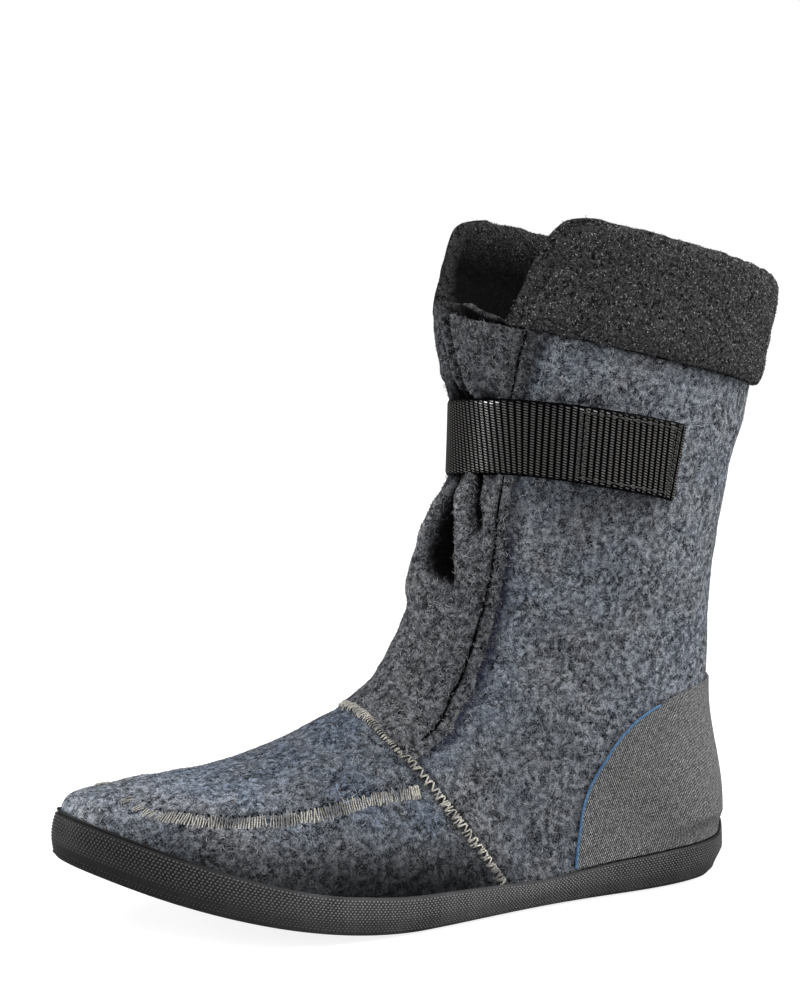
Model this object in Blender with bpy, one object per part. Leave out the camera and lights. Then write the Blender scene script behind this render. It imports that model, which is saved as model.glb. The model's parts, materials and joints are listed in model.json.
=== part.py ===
"""Felt inner boot for winter, left foot: a felt upper in a rubber cup sole, with a fleece cuff,
a folded gusset over the throat, a twill heel counter and a webbing strap.

Frame: +X to the toe, +Y to the outer side of the foot, +Z up. The origin is on the floor under the heel.
The tables are in millimetres, with x measured forward from the back of the heel.
"""

import math

import bpy
import numpy as np

MM = 0.001

# Driving dimensions, in millimetres
SOLE_LENGTH = 285.0
HEEL_CENTRE = 45.0  # from the back of the sole to the origin
TOE_Y = -14.0  # the toe tip lies towards the big toe
TOE_SPRING = 29.0  # height of the sole's underside at the toe tip
SPRING_START = 160.0  # x where the sole starts to rise to the toe
SPRING_POWER = 1.75
ARCH_RISE = 2.2  # hollow of the tread under the inner side
ARCH_FROM, ARCH_TO = 86.0, 142.0
SOLE_FLOOR = 5.0  # rubber under the foot
RIM_HEIGHT = 15.0  # side wall of the sole, from its underside
TOE_RIM_EXTRA = 4.0  # the side wall is taller at the toe
RIM_WALL = 2.6
RIM_GAP = 0.7  # between the rim and the felt inside it
UPPER_RISE = 1.4  # between the floor of the cup and the bottom edge of the felt
GAP = 0.3  # between neighbouring pieces
FELT = 4.0
INSOLE_THICK = 4.0
INSOLE_INSET = 9.4
COUNTER_THICK = 1.0
COUNTER_LIFT = 0.7  # room between the felt and the counter
COUNTER_RISE = 0.9  # room between the rim of the sole and the counter
GUSSET_THICK = 2.2
GUSSET_LIFT = 1.0  # room between the felt and the gusset
INNER_REACH = 0.68  # share of the gusset's reach on the inner side at the vamp seam
GUSSET_LAP = 5.0  # the gusset's edge lies this far outside the opening in the felt
SEAM_DIP = 2.6  # the gusset sinks level with the vamp at the vamp seam
CUFF_OUT = 3.5  # how far the cuff stands out from the felt
CUFF_IN = 3.0  # how far its inner face lies behind the felt's outer face
CUFF_CROWN = 0.07  # how far the top edge swells up half way back, as a share of the cuff's height
CUFF_INNER_DROP = 0.055  # how much lower its front corner is on the inner side
SHAFT_TOP = 0.03  # how far below the cuff's row the shaft ends, as a share of the cuff's height
STRAP_WIDTH = 30.0
STRAP_THICK = 1.6
STRAP_LIFT = 0.9  # room between the gusset and the strap
STRAP_END_X, STRAP_INNER_END_X = 51.0, 58.0
PATCH_FROM_X, PATCH_TO_X = 53.0, 88.0
PATCH_WIDTH = 25.0
PATCH_DROP = 2.6  # the hook tape shows below the strap
PATCH_THICK = 2.0
PATCH_LIFT = 0.8  # room between the felt and the hook tape

# Outline of the sole: distance forward, then the outer and the inner edge
SOLE_COLUMNS = ("along", "outer", "inner")
SOLE = (
    (3.5, 12.5, -12.5),
    (16.0, 25.5, -25.0),
    (43.0, 35.0, -33.5),
    (80.0, 37.0, -32.0),
    (114.0, 40.5, -30.0),
    (148.0, 46.5, -34.0),
    (180.0, 50.0, -43.0),
    (211.0, 48.0, -48.0),
    (242.0, 37.5, -47.0),
    (263.0, 22.5, -41.5),
    (277.0, 5.5, -31.5),
    (283.5, -6.0, -21.5),
)

# Steps of the sole's side, from the tread round the rim to the floor of the cup: how far in from the
# outline, height, whether that height is measured from the rim's top, and the share of the arch
SOLE_RINGS = (
    (6.0, 0.0, False, 1.0),
    (1.8, 0.9, False, 1.0),
    (0.5, 3.4, False, 0.4),
    (0.0, 8.0, False, 0.0),
    (0.3, -1.6, True, 0.0),
    (0.9, 0.0, True, 0.0),
    (2.1, 0.0, True, 0.0),
    (RIM_WALL, -0.6, True, 0.0),
    (RIM_WALL, SOLE_FLOOR, False, 0.0),
)

# Sections of the upper's outer face, from the toe tip to the top of the collar. Each is a slice
# from a point on the top line to a point on the lower line. Up to the heel row the lower line is the
# bottom edge, whose height comes from the sole; after it, the back of the leg. ridge is the y of the
# top line, foot is how far the half-widths follow the sole, widest is where along the slice it is widest,
# round is the length over which the back closes.
SECTION_COLUMNS = (
    "top_x", "top_z", "low_x", "low_z", "ridge", "outer", "inner", "foot", "widest", "power", "round"
)
SECTIONS = {
    "toe_tip": (281.6, 49.0, SOLE_LENGTH - RIM_WALL - RIM_GAP, 0.0, TOE_Y, 20, 20, 1.0, 0.60, 2.3, 40),
    "toe_cap": (276.0, 53.0, 275.5, 0.0, -13.5, 25, 25, 1.0, 0.62, 2.4, 40),
    "toes": (254.0, 55.5, 252.0, 0.0, -11.0, 35, 35, 1.0, 0.66, 2.4, 40),
    "joint": (226.0, 57.5, 222.0, 0.0, -8.5, 44, 40, 1.0, 0.70, 2.3, 40),
    "ball": (200.0, 64.0, 186.0, 0.0, -6.5, 48, 40, 1.0, 0.74, 2.15, 40),
    "waist": (183.0, 72.0, 152.0, 0.0, -5.5, 42, 33, 1.0, 0.78, 2.05, 40),
    "vamp_seam": (168.0, 78.5, 122.0, 0.0, -5.0, 38, 30, 1.0, 0.80, 2.0, 40),
    "instep": (153.0, 87.0, 86.0, 0.0, -4.0, 36.5, 31.0, 0.75, 0.78, 2.0, 40),
    "arch": (145.5, 98.0, 46.0, 0.0, -3.0, 35.5, 32.5, 0.3, 0.70, 2.0, 40),
    "heel_side": (140.0, 109.0, 14.0, 0.0, -2.0, 35.0, 33.5, 0.0, 0.62, 2.0, 40),
    "heel": (137.5, 116.0, RIM_WALL + RIM_GAP, SOLE_FLOOR + UPPER_RISE, -1.5, 35.0, 33.5, 0.0, 0.60, 2.0, 40),
    "heel_cup": (135.5, 124.0, 3.8, 30.0, -1.2, 35.0, 33.5, 0.0, 0.58, 2.0, 41),
    "counter_top": (129.5, 143.0, 11.0, 77.0, 0.0, 36.5, 35.5, 0.0, 0.55, 2.0, 48),
    "ankle": (122.5, 157.0, 10.0, 112.0, 0.0, 40.0, 39.5, 0.0, 0.54, 2.05, 54),
    "strap": (114.5, 182.0, 3.0, 165.0, 0.0, 44.5, 44.0, 0.0, 0.53, 2.15, 57),
    "leg": (119.5, 208.0, -4.2, 186.0, 0.0, 45.5, 45.0, 0.0, 0.53, 2.3, 60),
    "collar": (122.0, 230.0, -7.0, 199.0, 0.0, 46.0, 45.5, 0.0, 0.53, 2.4, 62),
    "top": (118.0, 277.0, -16.0, 238.0, 0.0, 47.0, 46.5, 0.0, 0.53, 2.4, 64),
    "above": (114.0, 320.0, -24.0, 277.0, 0.0, 48.0, 47.5, 0.0, 0.53, 2.4, 66),
}
ROW = {name: float(i) for i, name in enumerate(SECTIONS)}
KEYS = np.arange(len(SECTIONS), dtype=float)
COLUMN = dict(zip(SECTION_COLUMNS, np.array(list(SECTIONS.values()), float).T))
BACK_POWER = 2.1  # roundness of the back of the boot
BULGE = 30.0  # height above the sole's rim at which the upper may stand out as far beyond its bottom edge
LEG_SPLIT, FOOT_SPLIT = 0.5, 0.7  # share of each half slice from the top line to its widest point

# Cuff: height share, then how far it stands out, round the edge of one slice
CUFF_RING = (
    (0.00, -CUFF_IN),
    (-0.01, 0.0),
    (-0.01, CUFF_OUT - 1.0),
    (0.04, CUFF_OUT),
    (0.35, CUFF_OUT + 0.5),
    (0.70, CUFF_OUT + 0.5),
    (0.93, CUFF_OUT - 0.3),
    (0.99, CUFF_OUT - 1.8),
    (1.00, 0.2),
    (0.99, 1.6 - CUFF_IN),
    (0.93, -CUFF_IN),
    (0.70, -CUFF_IN),
    (0.40, -CUFF_IN),
)
# Front edge of the cuff in side view: height share and x
CUFF_EDGE = ((0.0, 114.0), (0.3, 110.0), (0.7, 103.0), (0.93, 95.0), (1.0, 86.0))

# Reach of the gusset's edge from the boot's middle plane, in the sections that it covers
GUSSET_REACH = {
    "vamp_seam": 26.5,
    "instep": 22.0,
    "arch": 20.0,
    "heel": 20.5,
    "heel_cup": 21.5,
    "counter_top": 24.0,
    "ankle": 23.5,
    "strap": 23.0,
    "leg": 28.0,
    "collar": 32.0,
}

# Front edge of the heel counter in side view, from its top at the back down to the sole
COUNTER_EDGE = ((12.0, 87.0), (36.0, 81.5), (56.0, 70.0), (70.0, 56.0), (76.5, 40.0), (78.5, 6.0))

# Folds of the gusset: y of the fold, half-width, height, and the heights between which it shows
FOLDS = {
    "front_ridge": (-5.0, 8.0, 3.0, 112.0, 166.0),
    "deep_valley": (4.0, 7.0, -9.0, 117.0, 168.0),
    "side_valley": (12.5, 2.2, -1.5, 138.0, 168.0),
    "inner_valley": (-10.5, 4.5, -3.0, 122.0, 168.0),
    "upper_fold": (6.0, 6.5, -2.5, 194.0, 234.0),
    "upper_inner_fold": (-9.0, 7.0, -2.2, 194.0, 234.0),
}
FOLD_FADE = 14.0  # height over which a fold dies away

# Middle line of the strap in side view: x and z
STRAP_LINE = ((46.0, 177.5), (70.0, 181.0), (95.0, 183.7), (114.0, 182.0))

# Mesh densities
SOLE_STEPS = 46
THROAT_COLUMNS, WALL_COLUMNS = 4, 11
TOE_ROWS, HEEL_ROWS, LEG_ROWS = 16, 14, 13


def curve_slopes(keys, values):
    """Slopes for a smooth curve through the points that never overshoots them."""
    step = np.diff(keys)
    rate = np.diff(values) / step
    before, after = rate[:-1], rate[1:]
    same = before * after > 0
    near, far = 2 * step[1:] + step[:-1], step[1:] + 2 * step[:-1]
    mean = (near + far) / (near / np.where(same, before, 1) + far / np.where(same, after, 1))
    return np.concatenate([rate[:1], np.where(same, mean, 0), rate[-1:]])


def smooth(keys, values, at):
    """Value on the smooth curve through the points (keys, values)."""
    keys, values = np.asarray(keys, float), np.asarray(values, float)
    slope = curve_slopes(keys, values)
    at = np.clip(at, keys[0], keys[-1])
    i = np.clip(np.searchsorted(keys, at, side="right") - 1, 0, len(keys) - 2)
    step = keys[i + 1] - keys[i]
    s = (at - keys[i]) / step
    ends = values[i] * (1 + 2 * s) * (1 - s) ** 2 + values[i + 1] * s**2 * (3 - 2 * s)
    return ends + step * (slope[i] * s * (1 - s) ** 2 - slope[i + 1] * s**2 * (1 - s))


def ease(low, high, at):
    """0 below low, 1 above high, and a smooth step between."""
    s = np.clip((at - low) / (high - low), 0, 1)
    return s * s * (3 - 2 * s)


def underside(x):
    """Height of the sole's underside: flat at heel and forefoot, rising to the toe."""
    along = np.clip((x - SPRING_START) / (SOLE_LENGTH - SPRING_START), 0, None)
    return TOE_SPRING * along**SPRING_POWER


def arch(x, y):
    along = np.clip((x - ARCH_FROM) / (ARCH_TO - ARCH_FROM), 0, 1)
    return ARCH_RISE * np.sin(math.pi * along) ** 2 * ease(-5.0, 25.0, -y)


def rim_top(x):
    return underside(x) + RIM_HEIGHT + TOE_RIM_EXTRA * ease(190.0, 275.0, x)


def closed_spline(points, count):
    """Evenly spaced points on a smooth closed curve through the given ones."""
    p = np.asarray(points, float)
    n = len(p)
    gap = np.linalg.norm(np.roll(p, -1, 0) - p, axis=1)
    before = np.roll(gap, 1)
    rate = (np.roll(p, -1, 0) - p) / gap[:, None]
    rows = np.diag(2 * (gap + before))
    for i in range(n):
        rows[i, i - 1] = gap[i]
        rows[i, (i + 1) % n] = before[i]
    slope = np.linalg.solve(rows, 3 * (gap[:, None] * np.roll(rate, 1, 0) + before[:, None] * rate))
    s = np.linspace(0, 1, 80, endpoint=False)[:, None]
    pieces = []
    for i in range(n):
        a, b, go, come = p[i], p[(i + 1) % n], slope[i] * gap[i], slope[(i + 1) % n] * gap[i]
        ends = a * (1 + 2 * s) * (1 - s) ** 2 + b * s**2 * (3 - 2 * s)
        pieces.append(ends + go * s * (1 - s) ** 2 - come * s**2 * (1 - s))
    ring = np.vstack(pieces + [p[:1]])
    length = np.concatenate([[0], np.cumsum(np.linalg.norm(np.diff(ring, axis=0), axis=1))])
    at = np.linspace(0, length[-1], count, endpoint=False)
    return np.stack([np.interp(at, length, ring[:, k]) for k in range(2)], axis=1)


def sole_ring():
    """The sole's outline, from the heel's back along the outer side to the toe and back."""
    column = dict(zip(SOLE_COLUMNS, np.array(SOLE).T))
    outer = np.column_stack([column["along"], column["outer"]])
    inner = np.column_stack([column["along"], column["inner"]])[::-1]
    return closed_spline(np.vstack([[(0, 0)], outer, [(SOLE_LENGTH, TOE_Y)], inner]), 2400)


RING = sole_ring()
RING_AHEAD = np.roll(RING, -1, 0) - np.roll(RING, 1, 0)
RING_INWARD = np.stack([RING_AHEAD[:, 1], -RING_AHEAD[:, 0]], 1)
RING_INWARD /= np.linalg.norm(RING_INWARD, axis=1)[:, None]
TIP = int(np.argmax(RING[:, 0]))


def side_lines(inset):
    """Outer and inner half of the outline moved inwards, each from the heel's back to the toe tip."""
    ring = RING + inset * RING_INWARD
    return ring[: TIP + 1], np.vstack([ring[:1], ring[: TIP - 1 : -1]])


EDGE_OUTER, EDGE_INNER = side_lines(RIM_WALL + RIM_GAP)


def back_line(z):
    """x of the back of the heel and leg, and the length over which it closes there."""
    heel = int(ROW["heel"])
    heights = COLUMN["low_z"][heel:]
    return smooth(heights, COLUMN["low_x"][heel:], z), smooth(heights, COLUMN["round"][heel:], z)


def section(t):
    """The table's columns at a place t between its rows."""
    row = {name: smooth(KEYS, values, t) for name, values in COLUMN.items()}
    row["open"] = t < ROW["heel"]
    row["low_x"] = np.where(row["open"], row["low_x"], back_line(row["low_z"])[0])
    row["low_z"] = np.where(row["open"], underside(row["low_x"]) + SOLE_FLOOR + UPPER_RISE, row["low_z"])
    row["low_y"] = row["ridge"] * (1 - ease(ROW["vamp_seam"], ROW["heel"], t))
    row["split"] = LEG_SPLIT + (FOOT_SPLIT - LEG_SPLIT) * row["foot"]
    return row


def edges_at(x):
    """y of the upper's bottom edge on the outer and on the inner side."""
    outer = np.interp(x, EDGE_OUTER[:, 0], EDGE_OUTER[:, 1])
    inner = np.interp(x, EDGE_INNER[:, 0], EDGE_INNER[:, 1])
    return outer, inner


def half_width(row, outer_side):
    """Half-width of a slice at its widest point, on one side."""
    outer, inner = edges_at(row["low_x"])
    end = np.where(outer_side, outer - row["low_y"], row["low_y"] - inner)
    own = np.where(outer_side, row["outer"], row["inner"])
    return row["foot"] * end + (1 - row["foot"]) * own


def back_closing(x, z):
    """Share of the half-width that is left near the back of the heel and leg: 0 at the back line."""
    back, length = back_line(z)
    gone = 1 - np.clip((x - back) / length, 0, 1)
    return np.where(x - back < 1e-6, 0, (1 - gone**BACK_POWER) ** (1 / BACK_POWER))


def form(t, u):
    """Point on the upper's outer face. t runs from the toe tip to the collar, u from the top line (0)
    to the lower line, 1 on the outer side of the foot and -1 on its inner side."""
    t, u = np.broadcast_arrays(np.asarray(t, float), np.asarray(u, float))
    row = section(t)
    u = np.where(np.abs(u) > 1, np.where(row["open"], np.sign(u), u - 2 * np.sign(u)), u)
    front = np.clip(np.abs(u) / row["split"], 0, 1) * math.pi / 2
    back = np.clip((np.abs(u) - row["split"]) / (1 - row["split"]), 0, 1) * math.pi / 2
    power = 2 / row["power"]
    along = row["widest"] * (1 - np.clip(np.cos(front), 0, 1) ** power)
    along = along + (1 - row["widest"]) * np.sin(back)
    x = row["top_x"] + (row["low_x"] - row["top_x"]) * along
    z = row["top_z"] + (row["low_z"] - row["top_z"]) * along
    half = half_width(row, u >= 0) * np.sin(front) ** power * back_closing(x, z)
    middle = row["ridge"] + (row["low_y"] - row["ridge"]) * along
    outer, inner = edges_at(x)
    bulge = np.clip(z - rim_top(x), 0, None) ** 2 / BULGE
    y = np.clip(middle + np.where(u >= 0, half, -half), inner - bulge, outer + bulge)
    return np.stack([x, y, z], axis=-1)


def outward(t, u):
    """Unit normal of the upper's outer face; straight ahead at the very toe tip."""
    step = 0.004
    t = np.asarray(t, float)
    low, high = np.maximum(t - step, 0), np.minimum(t + step, KEYS[-1])
    along = form(high, u) - form(low, u)
    around = form(t, u + step) - form(t, u - step)
    normal = np.cross(around, along)
    length = np.linalg.norm(normal, axis=-1)[..., None]
    return np.where(length > 1e-9, normal / np.maximum(length, 1e-9), (1.0, 0.0, 0.0))


def skin(t, u, out):
    """Point a distance out from the upper's outer face."""
    t, u, out = np.broadcast_arrays(np.asarray(t, float), np.asarray(u, float), np.asarray(out, float))
    return form(t, u) + outward(t, u) * out[..., None]


def even_rows(start, end, count):
    """Places t between two rows, evenly spaced over the upper's face."""
    t = np.linspace(start, end, 3000)
    top, low = form(t, 0.0), form(t, 1.0)
    step = 0.6 * np.linalg.norm(np.diff(top, axis=0), axis=1)
    step += np.linalg.norm(np.diff(low, axis=0), axis=1)
    length = np.concatenate([[0], np.cumsum(step)])
    return np.interp(np.linspace(0, length[-1], count + 1), length, t)


def u_at_y(t, side, reach):
    """Where a slice going down from its top line is this far from the boot's middle plane."""
    row = section(np.asarray(t, float))
    half = (reach - side * row["ridge"]) / half_width(row, side > 0)
    angle = np.arcsin(np.clip(half, 0, 1) ** (row["power"] / 2))
    return side * row["split"] * angle / (math.pi / 2)


def gusset_reach(t, side):
    """How far the gusset's edge is from the boot's middle plane; its inner side is narrower over the foot."""
    reach = smooth([ROW[name] for name in GUSSET_REACH], list(GUSSET_REACH.values()), t)
    inner = INNER_REACH + (1 - INNER_REACH) * ease(ROW["vamp_seam"], ROW["ankle"], t)
    return reach * np.where(side > 0, 1.0, inner)


def u_at_x(t, side, x):
    u = np.linspace(0, 1, 401)
    return side * np.interp(-x, -form(np.full(401, t), side * u)[:, 0], u)


def add_object(name, points, faces, colour, roughness):
    """A mesh object from points in millimetres."""
    mesh = bpy.data.meshes.new(name)
    placed = (np.asarray(points, float) - (HEEL_CENTRE, 0, 0)) * MM
    mesh.from_pydata(placed.tolist(), [], [list(map(int, face)) for face in faces])
    mesh.validate()
    obj = bpy.data.objects.new(name, mesh)
    bpy.context.scene.collection.objects.link(obj)
    material = bpy.data.materials.new(name)
    material.use_nodes = True
    shader = material.node_tree.nodes["Principled BSDF"]
    shader.inputs["Base Color"].default_value = (*colour, 1)
    shader.inputs["Roughness"].default_value = roughness
    mesh.materials.append(material)
    return obj


def add_wall(name, outer, inner, faces, colour, roughness):
    """A closed wall between two matching sheets of points."""
    count = len(outer)
    edges = {(a, b) for face in faces for a, b in zip(face, (*face[1:], face[0]))}
    rim = [(b, a, a + count, b + count) for a, b in sorted(edges) if (b, a) not in edges]
    back = [[v + count for v in reversed(face)] for face in faces]
    return add_object(name, np.vstack([outer, inner]), [*faces, *rim, *back], colour, roughness)


def welded(points, faces):
    """Numbers of the points to keep where several lie on each other, and the faces that stay open."""
    _, first, index = np.unique(np.round(points, 4), axis=0, return_index=True, return_inverse=True)
    kept = []
    for face in faces:
        corners = index.reshape(-1)[list(face)]
        if len(set(corners)) == 3:
            kept.append(tuple(int(v) for v in corners))
    return first, kept


def grid_faces(rows, columns, keep=None):
    """Triangles of a grid of points, each row from the inner side round the front to the outer side."""
    faces = []
    for i in range(rows - 1):
        for j in range(columns - 1):
            a = i * columns + j
            if keep is None or keep(i, j):
                faces += [(a, a + 1, a + columns + 1), (a, a + columns + 1, a + columns)]
    return faces


def loop_points(inset, height, from_rim, arched):
    """One ring of the sole, from the heel round the outer side to the toe and back."""
    outer, inner = side_lines(inset)
    pick_outer = np.linspace(0, len(outer) - 1, SOLE_STEPS + 1).round().astype(int)
    pick_inner = np.linspace(0, len(inner) - 1, SOLE_STEPS + 1).round().astype(int)
    x, y = np.vstack([outer[pick_outer], inner[pick_inner][-2:0:-1]]).T
    base = rim_top(x) if from_rim else underside(x)
    return np.column_stack([x, y, base + height + arched * arch(x, y)])


def loft(rings):
    """Points and faces of a stack of rings, closed at both ends across the sole."""
    count = len(rings[0])
    half = count // 2
    faces = []
    for k in range(len(rings) - 1):
        for j in range(count):
            a, b = k * count + j, k * count + (j + 1) % count
            faces.append((b, a, a + count, b + count))
    last = (len(rings) - 1) * count
    for j in range(half):
        ladder = [j, j + 1, (count - j - 1) % count, (count - j) % count]
        ladder = list(dict.fromkeys(ladder))
        faces.append(ladder)
        faces.append([last + v for v in reversed(ladder)])
    return np.vstack(rings), faces


def outsole():
    points, faces = loft([loop_points(*ring) for ring in SOLE_RINGS])
    add_object("outsole", points, faces, (0.045, 0.045, 0.046), 0.5)


def insole():
    low = SOLE_FLOOR + 2 * GAP
    rings = [loop_points(INSOLE_INSET, h, False, 0.0) for h in (low, low + INSOLE_THICK)]
    points, faces = loft(rings)
    add_object("insole", points, faces, (0.06, 0.062, 0.068), 0.95)


def upper_rows():
    """Places t of the upper's rows of points; the row at the vamp seam is number TOE_ROWS."""
    seam, heel = ROW["vamp_seam"], ROW["heel"]
    toe = even_rows(0.0, seam, TOE_ROWS)
    middle = even_rows(seam, heel, HEEL_ROWS)[1:]
    leg = even_rows(heel, ROW["collar"] - SHAFT_TOP, LEG_ROWS)[1:]
    return np.concatenate([toe, middle, leg])


def upper_line(t):
    """Places u of one row, from the inner side over the front to the outer side."""
    halves = []
    for side in (-1, 1):
        edge = max(t, ROW["vamp_seam"])
        throat = u_at_y(edge, side, gusset_reach(edge, side) - GUSSET_LAP)
        front = np.linspace(0, throat, THROAT_COLUMNS + 1)
        halves.append(np.concatenate([front, np.linspace(throat, side, WALL_COLUMNS + 1)[1:]]))
    return np.concatenate([halves[0][:0:-1], halves[1]])


def in_throat(column):
    return WALL_COLUMNS <= column < WALL_COLUMNS + 2 * THROAT_COLUMNS


def upper_wall(name, rows, out, thickness, keep, colour, roughness):
    """A wall over some of the upper's rows, with its outer side a distance out from the upper's face."""
    lines = [upper_line(t) for t in rows]
    u = np.concatenate(lines)
    t = np.repeat(rows, len(lines[0]))
    points = skin(t, u, out)
    first, faces = welded(points, grid_faces(len(rows), len(lines[0]), keep))
    inner = skin(t, u, out - thickness)
    return add_wall(name, points[first], inner[first], faces, colour, roughness)


def upper():
    """Vamp, quarters and shaft: one felt wall, open under the gusset, at the collar and underneath."""

    def keep(i, j):
        return i < TOE_ROWS or not in_throat(j)

    upper_wall("upper", upper_rows(), 0.0, FELT, keep, (0.115, 0.122, 0.138), 0.95)


def fold_height(t, points):
    """How far the gusset stands out or in at its folds and at its lower seam."""
    y, z = points[:, 1], points[:, 2]
    free = 1 - ease(0.45, 0.7, np.abs(y) / gusset_reach(t, y))
    height = -SEAM_DIP * free * (1 - ease(ROW["vamp_seam"], ROW["instep"], t))
    for middle, half, depth, low, high in FOLDS.values():
        across = np.clip(1 - ((y - middle) / half) ** 2, 0, None) ** 2
        shown = ease(low, low + FOLD_FADE, z) * (1 - ease(high - FOLD_FADE, high, z))
        height += depth * across * shown
    return height


def gusset():
    rows = even_rows(ROW["vamp_seam"] + 0.03, ROW["collar"] - SHAFT_TOP, 20)
    columns = 19
    u = []
    for t in rows:
        inner, outer = [u_at_y(t, side, gusset_reach(t, side)) for side in (-1, 1)]
        u.append(np.linspace(inner, outer, columns))
    u, t = np.concatenate(u), np.repeat(rows, columns)
    out = GUSSET_LIFT + fold_height(t, form(t, u))
    faces = grid_faces(len(rows), columns)
    add_wall("gusset", skin(t, u, out + GUSSET_THICK), skin(t, u, out), faces, (0.07, 0.072, 0.08), 0.95)


def cuff():
    """A thick collar round the top of the shaft, open at the front, from a ring of points in each slice."""
    steps = np.linspace(0, 1, 21)
    count = len(CUFF_RING)
    lines = []
    for share, out in CUFF_RING:
        t = ROW["collar"] + share
        edge = smooth(*zip(*CUFF_EDGE), share)
        ends = [abs(u_at_x(t, side, edge)) for side in (1, -1)]
        u = np.concatenate([ends[0] + (1 - ends[0]) * steps, (1 - ends[1]) * steps[1:] - 1])
        front = np.concatenate([0 * steps, ease(0.4, 1.0, steps[1:])])
        crown = CUFF_CROWN * np.sin(math.pi * np.concatenate([steps, 1 - steps[1:]]))
        lines.append(skin(t + share * (crown - CUFF_INNER_DROP * front), u, out))
    lines = np.array(lines)
    columns = lines.shape[1]
    points = lines.transpose(1, 0, 2).reshape(-1, 3)
    faces = []
    for j in range(columns - 1):
        for p in range(count):
            q = (p + 1) % count
            faces.append((j * count + p, (j + 1) * count + p, (j + 1) * count + q, j * count + q))
    first = list(range(count))
    last = [(columns - 1) * count + p for p in range(count)]
    faces += [first, last[::-1]]
    add_object("cuff", points, faces, (0.042, 0.042, 0.042), 0.98)


def side_prism(name, outline, half):
    """A cutter: an outline in side view, given from the top clockwise, drawn out across the boot."""
    count = len(outline)
    points = [(x, y, z) for y in (-half, half) for x, z in outline]
    faces = [list(range(count - 1, -1, -1)), list(range(count, 2 * count))]
    for k in range(count):
        after = (k + 1) % count
        faces.append((k, after, after + count, k + count))
    cutter = add_object(name, points, faces, (0.5, 0.5, 0.5), 0.5)
    cutter.hide_render = True
    cutter.display_type = "WIRE"
    return cutter


def heel_counter():
    """A patch on the upper's face behind the counter edge and above the sole's rim."""
    edge_z, edge_x = zip(*COUNTER_EDGE)
    low = float(rim_top(0.0)) + COUNTER_RISE
    heights = np.linspace(edge_z[-1], low, 16)
    outline = [(float(smooth(edge_z, edge_x, z)), float(z)) for z in heights]
    outline += [(-20.0, low), (-20.0, edge_z[-1])]
    cutter = side_prism("counter_cutter", outline, 60.0)
    rows = [t for t in upper_rows() if ROW["instep"] - 0.6 < t < ROW["ankle"]]
    out = COUNTER_LIFT + COUNTER_THICK
    colour = (0.135, 0.137, 0.142)
    patch = upper_wall("heel_counter", rows, out, COUNTER_THICK, lambda i, j: not in_throat(j), colour, 0.85)
    cut = patch.modifiers.new("outline", "BOOLEAN")
    cut.operation = "INTERSECT"
    cut.solver = "EXACT"
    cut.object = cutter


def band_t(u, drop):
    """Where the strap's middle line crosses the slices at u."""
    t = np.linspace(ROW["ankle"], ROW["collar"], 300)
    p = form(t, np.full(300, u))
    x, z = zip(*STRAP_LINE)
    return float(np.interp(0, p[:, 2] - smooth(x, z, p[:, 0]) + drop, t))


def add_band(name, u, width, drop, out, thickness, across, colour, roughness):
    """A band round the leg between two places u, with its middle line on the strap's line or below it."""
    middle = np.array([band_t(place, drop) for place in u])
    step = 0.02
    speed = np.linalg.norm(form(middle + step, u) - form(middle - step, u), axis=1) / (2 * step)
    shares = np.linspace(-0.5, 0.5, across)[:, None]
    t = (middle + shares * width / speed).ravel()
    u = np.tile(u, across)
    faces = grid_faces(across, len(middle))
    add_wall(name, skin(t, u, out + thickness), skin(t, u, out), faces, colour, roughness)


def strap():
    near = ROW["strap"]
    u = np.linspace(u_at_x(near, -1, STRAP_INNER_END_X), u_at_x(near, 1, STRAP_END_X), 45)
    out = GUSSET_LIFT + GUSSET_THICK + STRAP_LIFT
    add_band("strap", u, STRAP_WIDTH, 0.0, out, STRAP_THICK, 4, (0.027, 0.026, 0.024), 0.75)


def strap_hook_patch():
    near = ROW["strap"]
    u = np.linspace(u_at_x(near, 1, PATCH_TO_X), u_at_x(near, 1, PATCH_FROM_X), 9)
    colour = (0.01, 0.01, 0.011)
    add_band("strap_hook_patch", u, PATCH_WIDTH, PATCH_DROP, PATCH_LIFT, PATCH_THICK, 3, colour, 0.8)


def main():
    for obj in list(bpy.data.objects):
        bpy.data.objects.remove(obj)
    outsole()
    insole()
    upper()
    gusset()
    cuff()
    heel_counter()
    strap()
    strap_hook_patch()


main()
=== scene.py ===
"""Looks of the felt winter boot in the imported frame: felt, fleece, webbing, twill, rubber and threads.

The form of the upper is worked out from tables in millimetres, with x measured forward from the back of
the heel; add_piece() moves the points into the frame, which is in metres.
"""

import json
import math

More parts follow.
